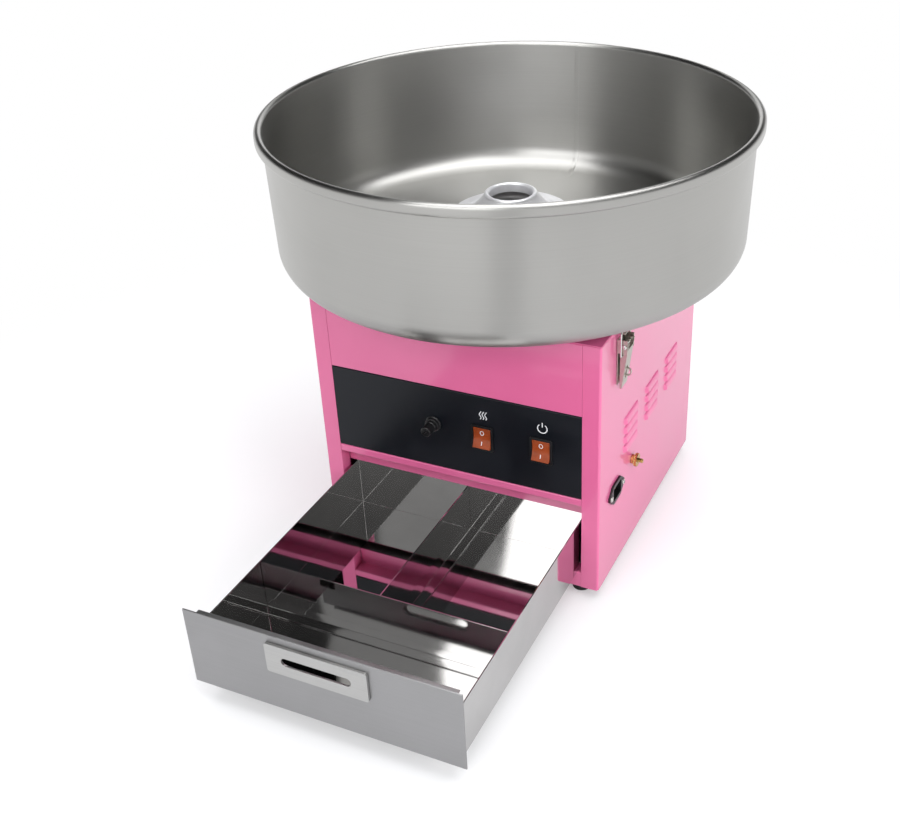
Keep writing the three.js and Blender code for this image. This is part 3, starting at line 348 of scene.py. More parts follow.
brushed = (7, 900, 1400)  # fine lines along X
finishes = {
    "pink_paint": coated("pinkPaint", ((0.80, 0.148, 0.345), (0.825, 0.165, 0.365)), (0.28, 0.36), 6, 700,
                         (0.00004, 0.35), Coat_Weight=0.9, Coat_Roughness=0.08),
    "black_paint": coated("blackPaint", ((0.0035, 0.005, 0.0085), (0.0065, 0.008, 0.0125)), (0.34, 0.46),
                          11, 1500, Specular_IOR_Level=0.35),
    "bowl": turnedSteel("bowlSteel", (0.475, 0.472, 0.458), (0.28, 0.34), 2400, 0.8, 0.000008),
    "stainless": straightSteel("polishedSheet", (0.6, 0.595, 0.59), (0.015, 0.05), (14, 14, 14), 0.000001),
    "brushedSheet": straightSteel("brushedSheet", (0.41, 0.408, 0.415), (0.28, 0.42), brushed, 0.00002, 0.7),
    "handleSheet": straightSteel("handleSheet", (0.58, 0.578, 0.57), (0.28, 0.4), brushed, 0.00002, 0.7),
    "zinc_steel": straightSteel("zincSheet", (0.5, 0.51, 0.5), (0.3, 0.48), (40, 40, 60), 0.00001),
    "latch_steel": castMetal("nickelPlate", (0.66, 0.63, 0.56), (0.28, 0.38), 700, 0.00002),
    "cast_aluminium": castMetal("turnedAluminium", (0.95, 0.95, 0.975), (0.3, 0.4), 900, 0.00002, 0.65),
    # a dark finish for the dish: painted shade inside the head, which also cuts the light bounced round its
    # cavity
    "paintedShadeDish": castMetal("paintedShadeAluminium", (0.3, 0.285, 0.27), (0.36, 0.5), 700, 0.00004, 0.85),
    "chrome": castMetal("chromePlate", (0.86, 0.85, 0.82), (0.05, 0.14), 500, 0.000005),
    "gauze_steel": straightSteel("gauzeSteel", (0.42, 0.42, 0.42), (0.35, 0.55), (60, 60, 900), 0.00002),
    "ribbon_alloy": straightSteel("ribbonAlloy", (0.2, 0.16, 0.13), (0.45, 0.7), (90, 90, 90), 0.00003),
    "brass": castMetal("turnedBrass", (0.78, 0.5, 0.18), (0.16, 0.26), 1400, 0.00002),
    "copper": castMetal("wornCopper", (0.72, 0.33, 0.19), (0.18, 0.26), 900, 0.00001),
    "carbon": mouldedPlastic("carbonBrush", (0.012, 0.012, 0.013), (0.5, 0.68), 2500),
    "black_plastic": mouldedPlastic("blackMoulding", (0.008, 0.008, 0.009), (0.28, 0.38)),
    "brown_board": boardFinish(),
    "amber_plastic": mouldedPlastic("amberMoulding", (0.3, 0.052, 0.011), (0.16, 0.26), 600,
                                    Subsurface_Weight=0.2, Subsurface_Radius=(0.004, 0.0018, 0.0006)),
    "rubber": mouldedPlastic("footRubber", (0.014, 0.014, 0.015), (0.6, 0.78), 900),
    "fuse_glass": mouldedPlastic("fuseGlass", (0.82, 0.86, 0.85), (0.03, 0.06), 300,
                                 Transmission_Weight=0.85),
    "motor_paint": mouldedPlastic("motorEnamel", (0.05, 0.055, 0.062), (0.34, 0.48), 500),
    "print": mouldedPlastic("screenPrint", (0.74, 0.75, 0.77), (0.4, 0.55), 900),
}
print("finishes: %d materials" % len(finishes))


# Floor and background

ground = {
    "floorSize": 40,
    "floorColour": (0.66, 0.66, 0.67),
    "seenColour": (0.93, 0.93, 0.945),
    "nearShare": 0.3,
    "fade": (0.35, 0.95),
    "mirrored": (0.66, 0.98),  # what metal sees of the floor, near the machine and far from it
    "mirroredFade": (0.3, 0.75),
    "gapTowards": (0.413, -0.911, 0),  # the metal shows a soft dark gap on this side
    "gap": (0.985, 1),
    "gapLevel": 0.72,
}


def addFloor():
    # its own shading shows near the machine, for the contact shadow, and fades into plain white around it
    bpy.ops.mesh.primitive_plane_add(size=ground["floorSize"], location=(0, 0, -0.0003))
    floor = bpy.context.object
    floor.name = "floor"
    material = bpy.data.materials.new("paleFloor")
    material.use_nodes = True
    tree = material.node_tree
    path = addNode(tree, "LightPath").outputs
    place = addNode(tree, "TexCoord").outputs["Object"]
    away = vectors(tree, "LENGTH", place)["Value"]
    outwards = vectors(tree, "NORMALIZE", place)["Vector"]
    toGap = vectors(tree, "DOT_PRODUCT", outwards, ground["gapTowards"])["Value"]
    white = levels(tree, away, ground["fade"], (ground["nearShare"], 1), "SMOOTHSTEP")
    seen = maths(tree, "MAXIMUM", path["Is Camera Ray"], path["Is Glossy Ray"])
    bright = maths(tree, "MAXIMUM", seen, path["Is Transmission Ray"])
    share = maths(tree, "MULTIPLY", bright, white)
    mirrored = levels(tree, away, ground["mirroredFade"], ground["mirrored"])
    gap = levels(tree, toGap, ground["gap"], (1, ground["gapLevel"]), "SMOOTHSTEP")
    shown = maths(tree, "MULTIPLY", mirrored, gap)
    strength = levels(tree, path["Is Camera Ray"], (0, 1), (shown, 1))
    glow = addNode(tree, "Emission", {"Strength": strength})
    colour = colourBetween(tree, path["Is Camera Ray"], ground["floorColour"], ground["seenColour"])
    shader = tree.nodes["Principled BSDF"]
    feed(tree, shader, {"Base Color": colour, "Roughness": 0.7, "Specular IOR Level": 0.2})
    mix = addNode(tree, "MixShader", {"Fac": share, 1: shader.outputs[0], 2: glow.outputs[0]})
    feed(tree, tree.nodes["Material Output"], {"Surface": mix.outputs[0]})
    floor.data.materials.append(material)


sky = {
    "ambient": (0.62, 0.63, 0.65, 1),
    "ambientStrength": 0.75,
    "ceiling": (0.32, 0.66),
    "overhead": 0.13,
    "behind": 0.015,
    "low": (0.1, 0.2),  # a pale band all round, just above the floor
    "lowLevel": 0.8,
    "falloff": 4.2,
    "brightest": (0.26, -0.966, 0),
}


def setWorld():
    # plain white to the camera; to metal and gloss it is bright ahead, and dim behind and above
    world = bpy.data.worlds.new("studio")
    bpy.context.scene.world = world
    world.use_nodes = True
    tree = world.node_tree
    tree.nodes.clear()
    path = addNode(tree, "LightPath").outputs
    place = addNode(tree, "TexCoord").outputs["Generated"]
    height = addNode(tree, "SeparateXYZ", {0: place}).outputs["Z"]
    facing = vectors(tree, "DOT_PRODUCT", place, sky["brightest"])["Value"]
    ahead = levels(tree, facing, (-1, 1))
    curve = maths(tree, "POWER", ahead, sky["falloff"])
    lifted = levels(tree, curve, (0, 1), (sky["behind"], 1))
    lowered = levels(tree, height, sky["ceiling"], (1, sky["overhead"]))
    level = maths(tree, "MULTIPLY", lifted, lowered)
    low = levels(tree, height, sky["low"], (sky["lowLevel"], 0))
    strongest = maths(tree, "MAXIMUM", level, low)
    mirrored = addNode(tree, "Background", {"Color": (1, 1, 1, 1), "Strength": strongest}).outputs[0]
    even = {"Color": sky["ambient"], "Strength": sky["ambientStrength"]}
    ambient = addNode(tree, "Background", even).outputs[0]
    white = addNode(tree, "Background", {"Color": (1, 1, 1, 1)}).outputs[0]
    glossy = addNode(tree, "MixShader", {"Fac": path["Is Glossy Ray"], 1: ambient, 2: mirrored}).outputs[0]
    seen = maths(tree, "MAXIMUM", path["Is Camera Ray"], path["Is Transmission Ray"])
    direct = addNode(tree, "MixShader", {"Fac": seen, 1: glossy, 2: white}).outputs[0]
    addNode(tree, "OutputWorld", {"Surface": direct})


bpy.context.scene.view_settings.view_transform = "Standard"
addCamera()
addSoftBoxes()
addFloor()
setWorld()
print("stage: camera, floor and %d softboxes" % len(softBoxes))


# Modelling helpers

crease = 35  # degrees: sharper edges are eased, flatter ones are shaded smooth
turnedCrease = 32
softCrease = 40
hardCrease = 20
plain, fine = 2, 3  # steps across an eased edge


def arc(centre, radius, first, last, steps):
    # points from the first angle to the last, in degrees
    turns = [radians(first + (last - first) * i / steps) for i in range(steps + 1)]
    return [(centre[0] + radius * cos(turn), centre[1] + radius * sin(turn)) for turn in turns]


def setMode(mode):
    bpy.ops.object.mode_set(mode=mode)


def selectMesh(action="SELECT"):
    bpy.ops.mesh.select_all(action=action)


def deselectAll():
    if bpy.context.mode != "OBJECT":
        setMode("OBJECT")
    bpy.ops.object.select_all(action="DESELECT")


def pick(piece):
    deselectAll()
    piece.select_set(True)
    bpy.context.view_layer.objects.active = piece


def startEdit(piece):
    pick(piece)
    setMode("EDIT")
    selectMesh()


def faceOutwards():
    bpy.ops.mesh.normals_make_consistent(inside=False)


def choose(piece, kind, wanted):
    # stays in edit mode, with only the edges or faces that pass the test selected
    startEdit(piece)
    bpy.ops.mesh.select_mode(type=kind)
    selectMesh("DESELECT")
    setMode("OBJECT")
    for part in piece.data.edges if kind == "EDGE" else piece.data.polygons:
        part.select = wanted(part)
    setMode("EDIT")


def endChoice():
    bpy.ops.mesh.select_mode(type="VERT")
    setMode("OBJECT")


def shadeSmooth(angle):
    bpy.ops.object.shade_smooth_by_angle(angle=radians(angle))


def applyModifier(piece, modifier):
    pick(piece)
    bpy.ops.object.modifier_apply(modifier=modifier.name)


def applyPlace():
    bpy.ops.object.transform_apply(location=True, rotation=True, scale=True)


def facingUp(direction):
    # the turn that lays Z along the direction
    return Vector(direction).to_track_quat("Z", "Y")


def layOn(piece, place, facing):
    # moves a piece made at the origin to its place, with its Z along the way it faces
    piece.rotation_euler = facingUp(facing).to_euler()
    piece.location = place
    pick(piece)
    applyPlace()


def thicken(piece, thickness):
    wall = piece.modifiers.new("wall", "SOLIDIFY")
    wall.thickness = thickness
    wall.offset = 0
    applyModifier(piece, wall)


def drawChain(name, points):
    # a plane merged to one vertex, drawn out along the points, left in edit mode
    deselectAll()
    bpy.ops.mesh.primitive_plane_add(size=0.01)
    piece = bpy.context.object
    piece.name = name
    setMode("EDIT")
    selectMesh()
    bpy.ops.mesh.merge(type="CENTER")
    bpy.ops.transform.translate(value=points[0])
    for here, there in zip(points, points[1:]):
        step = Vector(there) - Vector(here)
        bpy.ops.mesh.extrude_vertices_move(TRANSFORM_OT_translate={"value": step})
    return piece


def spinChain(steps, centre):
    # turns the drawn chain once round a line along Z
    selectMesh()
    bpy.ops.mesh.spin(steps=steps, angle=2 * pi, center=centre, axis=(0, 0, 1))
    selectMesh()
    bpy.ops.mesh.remove_doubles(threshold=0.000002)
    faceOutwards()


def turned(name, outline, steps=48, centre=(0, 0, 0), smooth=turnedCrease):
    # a closed outline of (radius, height) points, turned about a line along Z
    x, y, z = centre
    piece = drawChain(name, [(x + radius, y, z + height) for radius, height in [*outline, outline[0]]])
    spinChain(steps, centre)
    setMode("OBJECT")
    shadeSmooth(smooth)
    return piece


def turnedAt(name, outline, place, facing, steps=48, smooth=turnedCrease):
    piece = turned(name, outline, steps, smooth=smooth)
    layOn(piece, place, facing)
    return piece


def wireAlong(name, points, radius, roundness):
    # a chain of points with a round section
    drawChain(name, points)
    setMode("OBJECT")
    bpy.ops.object.convert(target="CURVE")
    curve = bpy.context.object.data
    curve.bevel_depth = radius
    curve.bevel_resolution = roundness
    curve.use_fill_caps = True
    bpy.ops.object.convert(target="MESH")
    piece = bpy.context.object
    piece.name = name
    return piece


def easeEdges(piece, width, segments=plain):
    # bevels the sharp edges and shades over them, while the large flat faces keep their own direction
    bevel = piece.modifiers.new("easedEdges", "BEVEL")
    bevel.width = width
    bevel.segments = segments
    bevel.limit_method = "ANGLE"
    bevel.angle_limit = radians(crease)
    applyModifier(piece, bevel)
    shadeSmooth(crease)
    even = piece.modifiers.new("evenShading", "WEIGHTED_NORMAL")
    even.keep_sharp = True
    applyModifier(piece, even)


def copyOf(node, name, edge=0, segments=plain):
    # a merged copy of a frame node with its flat faces rejoined and its edges eased
    deselectAll()
    piece = bpy.data.objects.new(name, nodes[node].data.copy())
    bpy.context.scene.collection.objects.link(piece)
    startEdit(piece)
    bpy.ops.mesh.remove_doubles(threshold=0.00001)
    bpy.ops.mesh.dissolve_limited(angle_limit=radians(1))
    setMode("OBJECT")
    piece.data.materials.clear()
    if edge:
        easeEdges(piece, edge, segments)
    else:
        shadeSmooth(crease)
    return piece


def unwrapFlat(piece):
    startEdit(piece)
    bpy.ops.uv.cube_project(cube_size=1)
    setMode("OBJECT")


def finish(piece, node, look=None, stands=True):
    # the finish, slot and body of the frame node that the piece stands for or sits on
    piece.data.materials.clear()
    piece.data.materials.append(finishes[look or slotOf[node]])
    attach(piece, bodyOf[node])
    if stands:
        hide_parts(node)


# Bowl

bowl = {
    "corner": 0.026,
    "bead": 0.0042,
    "skirt": 0.0045,
    "holeRadius": 0.072,
    "lip": 0.008,
    "floorEdge": 0.2486,
    "steps": 192,
    "arcSteps": 12,
    "beadSteps": 18,
}
rimRadius = (bowlHigh.x - bowlLow.x) / 2
bowlCorner = (bowl["floorEdge"] - bowl["corner"], bowlLow.z + sheetMetal + bowl["corner"])


def makeBowl():
    bead, corner, steps = bowl["bead"], bowl["corner"], bowl["arcSteps"]
    bottom, lip = bowlLow.z, bowlLow.z + bowl["lip"]
    hole, inside = bowl["holeRadius"], bowl["holeRadius"] + sheetMetal
    beadRadius, beadHeight = rimRadius - bead, bowlHigh.z - bead
    meet = degrees(acos((bead - sheetMetal) / bead))  # where the wall runs into the bead
    outline = [(hole, bottom)] + arc(bowlCorner, corner + sheetMetal, -90, 0, steps)
    outline += arc((beadRadius, beadHeight - bowl["skirt"]), bead, meet - 180, 0, steps)
    outline += arc((beadRadius, beadHeight), bead, 0, 180, bowl["beadSteps"])
    outline += arc(bowlCorner, corner, 0, -90, steps)
    outline += [(inside, bottom + sheetMetal), (inside, lip), (hole, lip)]
    finish(turned("bowl_shell", outline, bowl["steps"], spinAxis), "bowl", "bowl")


weld = {
    "turn": 95,  # degrees round from the right
    "width": 0.005,
    "height": 0.0005,
    "edge": 0.000225,
    "onFloor": 0.012,
}


def addWeld():
    # the wall's butt weld, ground low: a strip down the inside at the back, onto the floor
    top, corner = 2 * bowl["bead"], bowl["corner"]
    profile = [(rimRadius - top, bowlHigh.z - top)] + arc(bowlCorner, corner, 0, -90, bowl["arcSteps"])
    profile += [(bowlCorner[0] - weld["onFloor"], bowlCorner[1] - corner)]
    turn = radians(weld["turn"])
    outwards = Vector((cos(turn), sin(turn), 0))
    across = Vector((sin(turn), -cos(turn), 0)) * weld["width"]
    start = Vector(spinAxis) - across / 2
    points = [start + outwards * radius + Vector((0, 0, height)) for radius, height in profile]
    piece = drawChain("bowl_weld", points)
    selectMesh()
    bpy.ops.mesh.extrude_edges_move(TRANSFORM_OT_translate={"value": across})
    setMode("OBJECT")
    thicken(piece, weld["height"])
    startEdit(piece)
    faceOutwards()
    setMode("OBJECT")
    easeEdges(piece, weld["edge"])
    finish(piece, "bowl", "bowl", stands=False)


makeBowl()
addWeld()
print("bowl: rim %.0f mm across" % (2000 * rimRadius))


# Cabinet sheets

cabinet = {
    "edge": 0.0003,  # cut edges
    "panelEdge": 0.00021,
    "deckEdge": 0.0005,
    "postBend": 0.0022,
    "panelBend": 0.0012,
    "bendSegments": 4,
    "leastUpright": 0.01,  # shorter edges are cuts, not bends
    "leastLevel": 0.1,
}


def roundEdges(piece, wanted, width):
    # rounds the edges whose two ends pass the test
    choose(piece, "EDGE", lambda edge: wanted(*(piece.data.vertices[i].co for i in edge.vertices)))
    bpy.ops.mesh.bevel(offset=width, segments=cabinet["bendSegments"], affect="EDGES", clamp_overlap=True)
    endChoice()


def near(value, target, slack=0.00005):
    return abs(value - target) < slack


def upright(first, second):
    tall = abs(first.z - second.z) > cabinet["leastUpright"]
    return tall and near(first.x, second.x) and near(first.y, second.y)


def level(first, second):
    wide = abs(first.x - second.x) > cabinet["leastLevel"]
    return wide and near(first.z, second.z) and near(first.y, second.y)


def makeSidePanels():
    bend = cabinet["postBend"]
    for side, sign in (("right", 1), ("left", -1)):
        piece = copyOf(side + "_side_panel", side + "_side_formed")
        # the front bend's outer face, then its inner one
        for inset, width in ((0, bend), (sheetMetal, bend - sheetMetal)):
            x, y = (sideFace - inset) * sign, frontFace + inset
            roundEdges(piece, lambda a, b: upright(a, b) and near(a.x, x) and near(a.y, y), width)
        easeEdges(piece, cabinet["edge"])
        finish(piece, side + "_side_panel")


def makeSheets():
    for node in ("front_upper_panel", "control_panel", "front_rail", "base_tray"):
        piece = copyOf(node, node + "_formed")
        roundEdges(piece, lambda a, b: level(a, b) and near(a.y, frontFace), cabinet["panelBend"])
        easeEdges(piece, cabinet["panelEdge"])
        finish(piece, node)
    for node in ("top_deck", "rear_cover", "bay_roof", "runner_right", "runner_left", "motor_bracket"):
        finish(copyOf(node, node + "_formed", cabinet["deckEdge"]), node)


makeSidePanels()
makeSheets()
print("cabinet: sheets formed")


# Small fasteners

screw = {
    "dome": 0.65,  # share of the head's height
    "slot": (1.25, 0.22, 0.7),  # its length and width as shares of the radius, its depth of the height
    "steps": 32,
}
rearScrews = {
    "size": (0.0035, 0.002),
    "inset": 0.008,
    "rows": (("low", 0.026), ("middle", 0.161), ("high", 0.296)),
    "turns": (17, 9),  # for each metre across and up, so that the slots stand differently
}


def dome(radius, height):
    # a quarter of an ellipse, from its edge upwards
    turns = [radians(angle) for angle in range(0, 90, 15)]
    return [(radius * cos(turn), height * sin(turn)) for turn in turns]


def addBox(size, place, turn):
    deselectAll()
    bpy.ops.mesh.primitive_cube_add(size=1)
    piece = bpy.context.object
    piece.scale = size
    piece.rotation_euler = turn
    piece.location = place
    return piece


def cutSlot(piece, place, facing, size, turn):
    # takes a bar-shaped cut out of a piece
    cutter = addBox(size, place, (facingUp(facing).to_matrix() @ Matrix.Rotation(turn, 3, "Z")).to_euler())
    cut = piece.modifiers.new("slot", "BOOLEAN")
    cut.object = cutter
    cut.operation = "DIFFERENCE"
    cut.solver = "EXACT"
    applyModifier(piece, cut)
    bpy.data.objects.remove(cutter)


def addScrew(name, place, facing, node, size, turn, look):
    radius, height = size
    length, width, depth = screw["slot"]
    shoulder = height * (1 - screw["dome"])
    crown = [(across, shoulder + rise) for across, rise in dome(radius, height - shoulder)]
    outline = [(0, 0), (radius, 0), *crown, (0, height)]
    piece = turnedAt(name, outline, place, facing, screw["steps"])
    top = Vector(place) + Vector(facing) * height
    for quarter in (0, pi / 2):
        cutSlot(piece, top, facing, (radius * length, radius * width, height * depth), turn + quarter)
    shadeSmooth(turnedCrease)
    finish(piece, node, look, stands=False)


def addRearScrews():
    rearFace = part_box("rear_cover")[1].y
    across, up = rearScrews["turns"]
    for column, sign in (("left", -1), ("right", 1)):
        x = sign * (sideFace - rearScrews["inset"])
        for row, z in rearScrews["rows"]:
            addScrew("rear_screw_%s_%s" % (column, row), (x, rearFace, z), (0, 1, 0), "rear_cover",
                     rearScrews["size"], across * x + up * z, "zinc_steel")


addRearScrews()
print("fasteners: rear cover screwed on")


# Feet

foot = {
    "radius": 0.01,
    "edge": (0.0012, 5),  # radius and steps
    "recess": (0.0035, 0.003),  # radius and depth
    "profile": ((0.0007, 0.55), (0.0013, 0.6), (0.0009, 0.66), (0.0015, 1)),  # inset, share of height
}


def makeFoot(node):
    low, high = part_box(node)
    radius, (edge, steps) = foot["radius"], foot["edge"]
    bore, depth = foot["recess"]
    outline = [(0, depth), (bore, depth), (bore, 0)] + arc((radius - edge, edge), edge, -90, 0, steps)
    outline += [(radius - inset, high.z * share) for inset, share in foot["profile"]] + [(0, high.z)]
    finish(turned(node + "_moulded", outline, centre=((low.x + high.x) / 2, (low.y + high.y) / 2, 0)), node)


for corner in ("front_left", "front_right", "rear_left", "rear_right"):
    makeFoot("foot_" + corner)
print("feet: 4")


# Head

head = {
    "lip": (0.0285, 0.0235),  # outer and inner radius
    "lipSteps": 14,
    "throat": ((0.0004, 0.003), (0.0007, 0.007)),  # in from the lip, and below it
    "undercut": (0.026, 0.0085),  # its radius, and below the lip
    "cavity": 0.039,
    "cavityTop": (0.038, 0.002),  # its radius, and above the foot
    "shoulder": 0.046,
    "flare": 1.2,  # 1 is a straight cone
    "flareSteps": 24,
    "footRadius": 0.05,
    "foot": 0.0018,
    "chamfer": 0.0004,
    "bore": 0.042,
    "steps": 144,
}
ring = {
    "skirt": 0.0018,
    "web": 0.007,
    "chamfer": 0.0003,
    "round": (0.001, 5),  # radius and steps
    "groove": ((0.0035, 0), (0.003, 0.0004), (0.0015, 0.0004), (0.001, 0)),  # out from the foot, and down
}
dish = {
    "bore": 0.0043,
    "hub": 0.012,
    "hubTop": 0.01,
    "chamfer": 0.0005,
    "fillet": 0.0015,
    "shelf": 0.012,
    "floor": 0.003,
    "rim": 0.0618,
    "round": (0.001, 4),
}
gauze = {
    "radius": 0.0622,
    "rail": 0.0024,
    "edge": 0.0001,
    "steps": 216,
    "wall": 0.0006,
    "crease": 30,
    "leastSlot": 0.000008,  # the smaller faces are its rails
}


def makeHeadCap():
    low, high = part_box("head_cap")
    outer, inner = head["lip"]
    lipRound = (outer - inner) / 2
    lipHeight, footTop = high.z - lipRound, low.z + head["foot"]
    edge, chamfer = head["footRadius"], head["chamfer"]
    outline = [(head["bore"], low.z), (edge - chamfer, low.z), (edge, low.z + chamfer)]
    outline += [(edge, footTop - chamfer), (edge - chamfer, footTop)]
    for i in range(head["flareSteps"] + 1):
        rise = i / head["flareSteps"]
        radius = outer + (head["shoulder"] - outer) * (1 - rise) ** head["flare"]
        outline.append((radius, footTop + (lipHeight - footTop) * rise))
    outline += arc(((outer + inner) / 2, lipHeight), lipRound, 0, 180, head["lipSteps"])[1:]
    outline += [(inner - inset, lipHeight - depth) for inset, depth in head["throat"]]
    outline += [(head["undercut"][0], lipHeight - head["undercut"][1])]
    outline += [(head["cavityTop"][0], footTop + head["cavityTop"][1])]
    outline += [(head["cavity"], (low.z + footTop) / 2), (head["cavity"], low.z)]
    finish(turned("funnel_cap", outline, head["steps"], spinAxis, softCrease), "head_cap")


def makeHeadRing():
    low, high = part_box("head_ring")
    bore, outer, web = head["bore"], high.x, low.z + ring["web"]
    skirt, chamfer, (corner, steps) = outer - ring["skirt"], ring["chamfer"], ring["round"]
    outline = [(bore, web), (skirt, web), (skirt, low.z), (outer - chamfer, low.z), (outer, low.z + chamfer)]
    outline += arc((outer - corner, high.z - corner), corner, 0, 90, steps)
    outline += [(head["footRadius"] + out, high.z - depth) for out, depth in ring["groove"]]
    outline += [(bore, high.z)]
    finish(turned("ring_plate", outline, head["steps"], spinAxis), "head_ring")


def makeHeadBase():
    low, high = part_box("head_base")
    bore, hub, outer, inner, (corner, steps) = dish["bore"], dish["hub"], high.x, dish["rim"], dish["round"]
    shelf = low.z + dish["shelf"]
    floor = shelf + dish["floor"]
    outline = [(bore, low.z), (hub - dish["chamfer"], low.z), (hub, low.z + dish["chamfer"])]
    outline += [(hub, shelf - dish["fillet"]), (hub + dish["fillet"], shelf), (outer - corner, shelf)]
    outline += arc((outer - corner, shelf + corner), corner, -90, 0, steps)
    outline += [(outer, high.z), (inner, high.z), (inner, floor), (hub, floor), (dish["hubTop"], high.z)]
    outline += [(bore, high.z)]
    # the dish gets the dark finish: painted shade inside the head
    finish(turned("head_dish", outline, head["steps"], spinAxis), "head_base", "paintedShadeDish")


def makeGauze():
    # a band with two rows of narrow upright slots, between three rails: every second face is taken out
    low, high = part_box("gauze_band")
    edge, rail, steps = gauze["edge"], gauze["rail"], gauze["steps"]
    middle = (low.z + high.z) / 2
    heights = (low.z + edge, low.z + rail, middle - rail / 4, middle + rail / 4, high.z - rail, high.z - edge)
    piece = drawChain("slotted_gauze", [(gauze["radius"], axisY, height) for height in heights])
    spinChain(steps, spinAxis)

    def isSlot(face):
        turn = atan2(face.center.y - axisY, face.center.x) / (2 * pi) * steps
        return face.area > gauze["leastSlot"] and round(turn - 0.5) % 2 == 0

    choose(piece, "FACE", isSlot)
    bpy.ops.mesh.delete(type="FACE")
    endChoice()
    thicken(piece, gauze["wall"])
    shadeSmooth(gauze["crease"])
    finish(piece, "gauze_band")


trim = {
    "screwRadius": 0.057,
    "screwTurns": (115, -65),
    "screwSize": (0.0024, 0.0013),
    "slotTurn": 0.4,
    "clipTurns": (25.6, 205.6),
    "clip": (0.004, 0.007, 0.0075),
    "clipInset": 0.0008,
    "clipProud": 0.003,
    "clipEdge": 0.0009,
}


def onHead(radius, turn, height):
    return (radius * cos(turn), axisY + radius * sin(turn), height)


def addHeadTrim():
    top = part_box("head_ring")[1]
    for i, angle in enumerate(trim["screwTurns"]):
        place = onHead(trim["screwRadius"], radians(angle), top.z)
        addScrew("ring_screw_%d" % (i + 1), place, (0, 0, 1), "head_ring", trim["screwSize"],
                 trim["slotTurn"] + i, "brass")
    middle = top.z + trim["clipProud"] - trim["clip"][2] / 2
    for i, angle in enumerate(trim["clipTurns"]):
        turn = radians(angle)
        piece = addBox(trim["clip"], onHead(top.x - trim["clipInset"], turn, middle), (0, 0, turn))
        piece.name = "ring_clip_%d" % (i + 1)
        applyPlace()
        easeEdges(piece, trim["clipEdge"], fine)
        finish(piece, "head_ring", "black_plastic", stands=False)


makeHeadCap()
makeHeadRing()
makeHeadBase()
makeGauze()
addHeadTrim()
print("head: funnel, ring, dish and gauze")


# Bowl seat

seat = {"inner": 0.086, "steps": 96}


def makeSeatRing():
    low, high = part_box("bowl_seat")
    inner, outer, wall = seat["inner"], high.x, seat["inner"] + sheetMetal
    bottom, top = low.z + sheetMetal, high.z - sheetMetal
    outline = [(inner, low.z), (outer, low.z), (outer, bottom), (wall, bottom), (wall, top), (outer, top),
               (outer, high.z), (inner, high.z)]
    finish(turned("seat_ring", outline, seat["steps"], spinAxis), "bowl_seat")


makeSeatRing()
print("seat: 1 ring")


# Drawer

drawer = {"edge": 0.00025, "flangeBend": 0.0011, "handleEdge": 0.0009}


def makeDrawer():
    for node in ("drawer_box", "divider_cross", "divider_long"):
        finish(copyOf(node, node + "_folded", drawer["edge"]), node)
    low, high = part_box("drawer_front")
    front = copyOf("drawer_front", "drawer_front_folded")
    roundEdges(front, lambda a, b: level(a, b) and near(a.y, low.y) and near(a.z, high.z),
               drawer["flangeBend"])
    easeEdges(front, drawer["edge"])
    unwrapFlat(front)
    finish(front, "drawer_front", "brushedSheet")
    handle = copyOf("handle_plate", "handle_pressed", drawer["handleEdge"], fine)
    unwrapFlat(handle)
    finish(handle, "handle_plate", "handleSheet")


makeDrawer()
print("drawer: box, front, handle and dividers")


# Switches

switches = {
    "power": (0.0995, 0.1775),
    "heat": (0.0333, 0.1775),
    "edges": {"housing": 0.0005, "rocker": 0.0007},
    "tilt": 8,
    "pivotDepth": 0.001,
    "dip": -0.0028,  # middle of the rocker's face, from its pivot
    "tip": -0.0052,
    "halfHeight": 0.0116,
    "markRadius": 0.0023,
    "markLine": 0.00042,
    "markShape": (0.85, 1.1),  # the O is a little taller than wide
    "markPress": 0.35,
    "markLift": 0.00005,
    "oHeight": 0.0055,
    "iHeight": -0.0062,
    "iLength": 0.0042,
}


def layMark(mark, name, height):
    # lays a mark on the rocker's dished face, looking the way that the face looks there
    depth = switches["dip"] + (switches["tip"] - switches["dip"]) * (height / switches["halfHeight"]) ** 2
    slope = 2 * (switches["tip"] - switches["dip"]) * height / switches["halfHeight"] ** 2
    tilt = Matrix.Rotation(radians(-switches["tilt"]), 3, "X")
    facing = tilt @ Vector((0, -1, slope)).normalized()
    x, z = switches[name]
    pivot = Vector((x, frontFace + switches["pivotDepth"], z))
    layOn(mark, pivot + tilt @ Vector((0, depth, height)) + facing * switches["markLift"], facing)
    finish(mark, "switch_%s_rocker" % name, "print", stands=False)


def makeSwitch(name):
    for part, edge in switches["edges"].items():
        node = "switch_%s_%s" % (name, part)
        finish(copyOf(node, node + "_moulded", edge, fine), node)
    deselectAll()
    line, press = switches["markLine"], switches["markPress"]
    bpy.ops.mesh.primitive_torus_add(major_radius=switches["markRadius"], minor_radius=line,
                                     major_segments=32, minor_segments=8)
    loop = bpy.context.object
    loop.name = "mark_o_" + name
    loop.scale = (*switches["markShape"], press)
    layMark(loop, name, switches["oHeight"])
    deselectAll()
    bpy.ops.mesh.primitive_cylinder_add(radius=line, depth=switches["iLength"], vertices=12)
    bar = bpy.context.object
    bar.name = "mark_i_" + name
    bar.rotation_euler = (pi / 2, 0, 0)
    applyPlace()
    bar.scale = (1, 1, press)
    layMark(bar, name, switches["iHeight"])


makeSwitch("power")
makeSwitch("heat")
print("switches: 2")


# Printed symbols on the panel

symbols = {
    "line": (0.0011, 2),  # width and roundness
    "depth": 0.0001,
    "proud": 0.4,  # share of its depth
    "power": (0.1007, 0.2041),
    "radius": 0.0052,
    "loop": range(34, 327, 12),  # degrees round from the top
    "bar": (0.0015, 0.007),
    "heat": (0.0345, 0.2044),
    "height": 0.0095,
    "pitch": 0.0031,
    "wave": 0.0009,
    "waves": 1.25,
    "steps": 16,
}


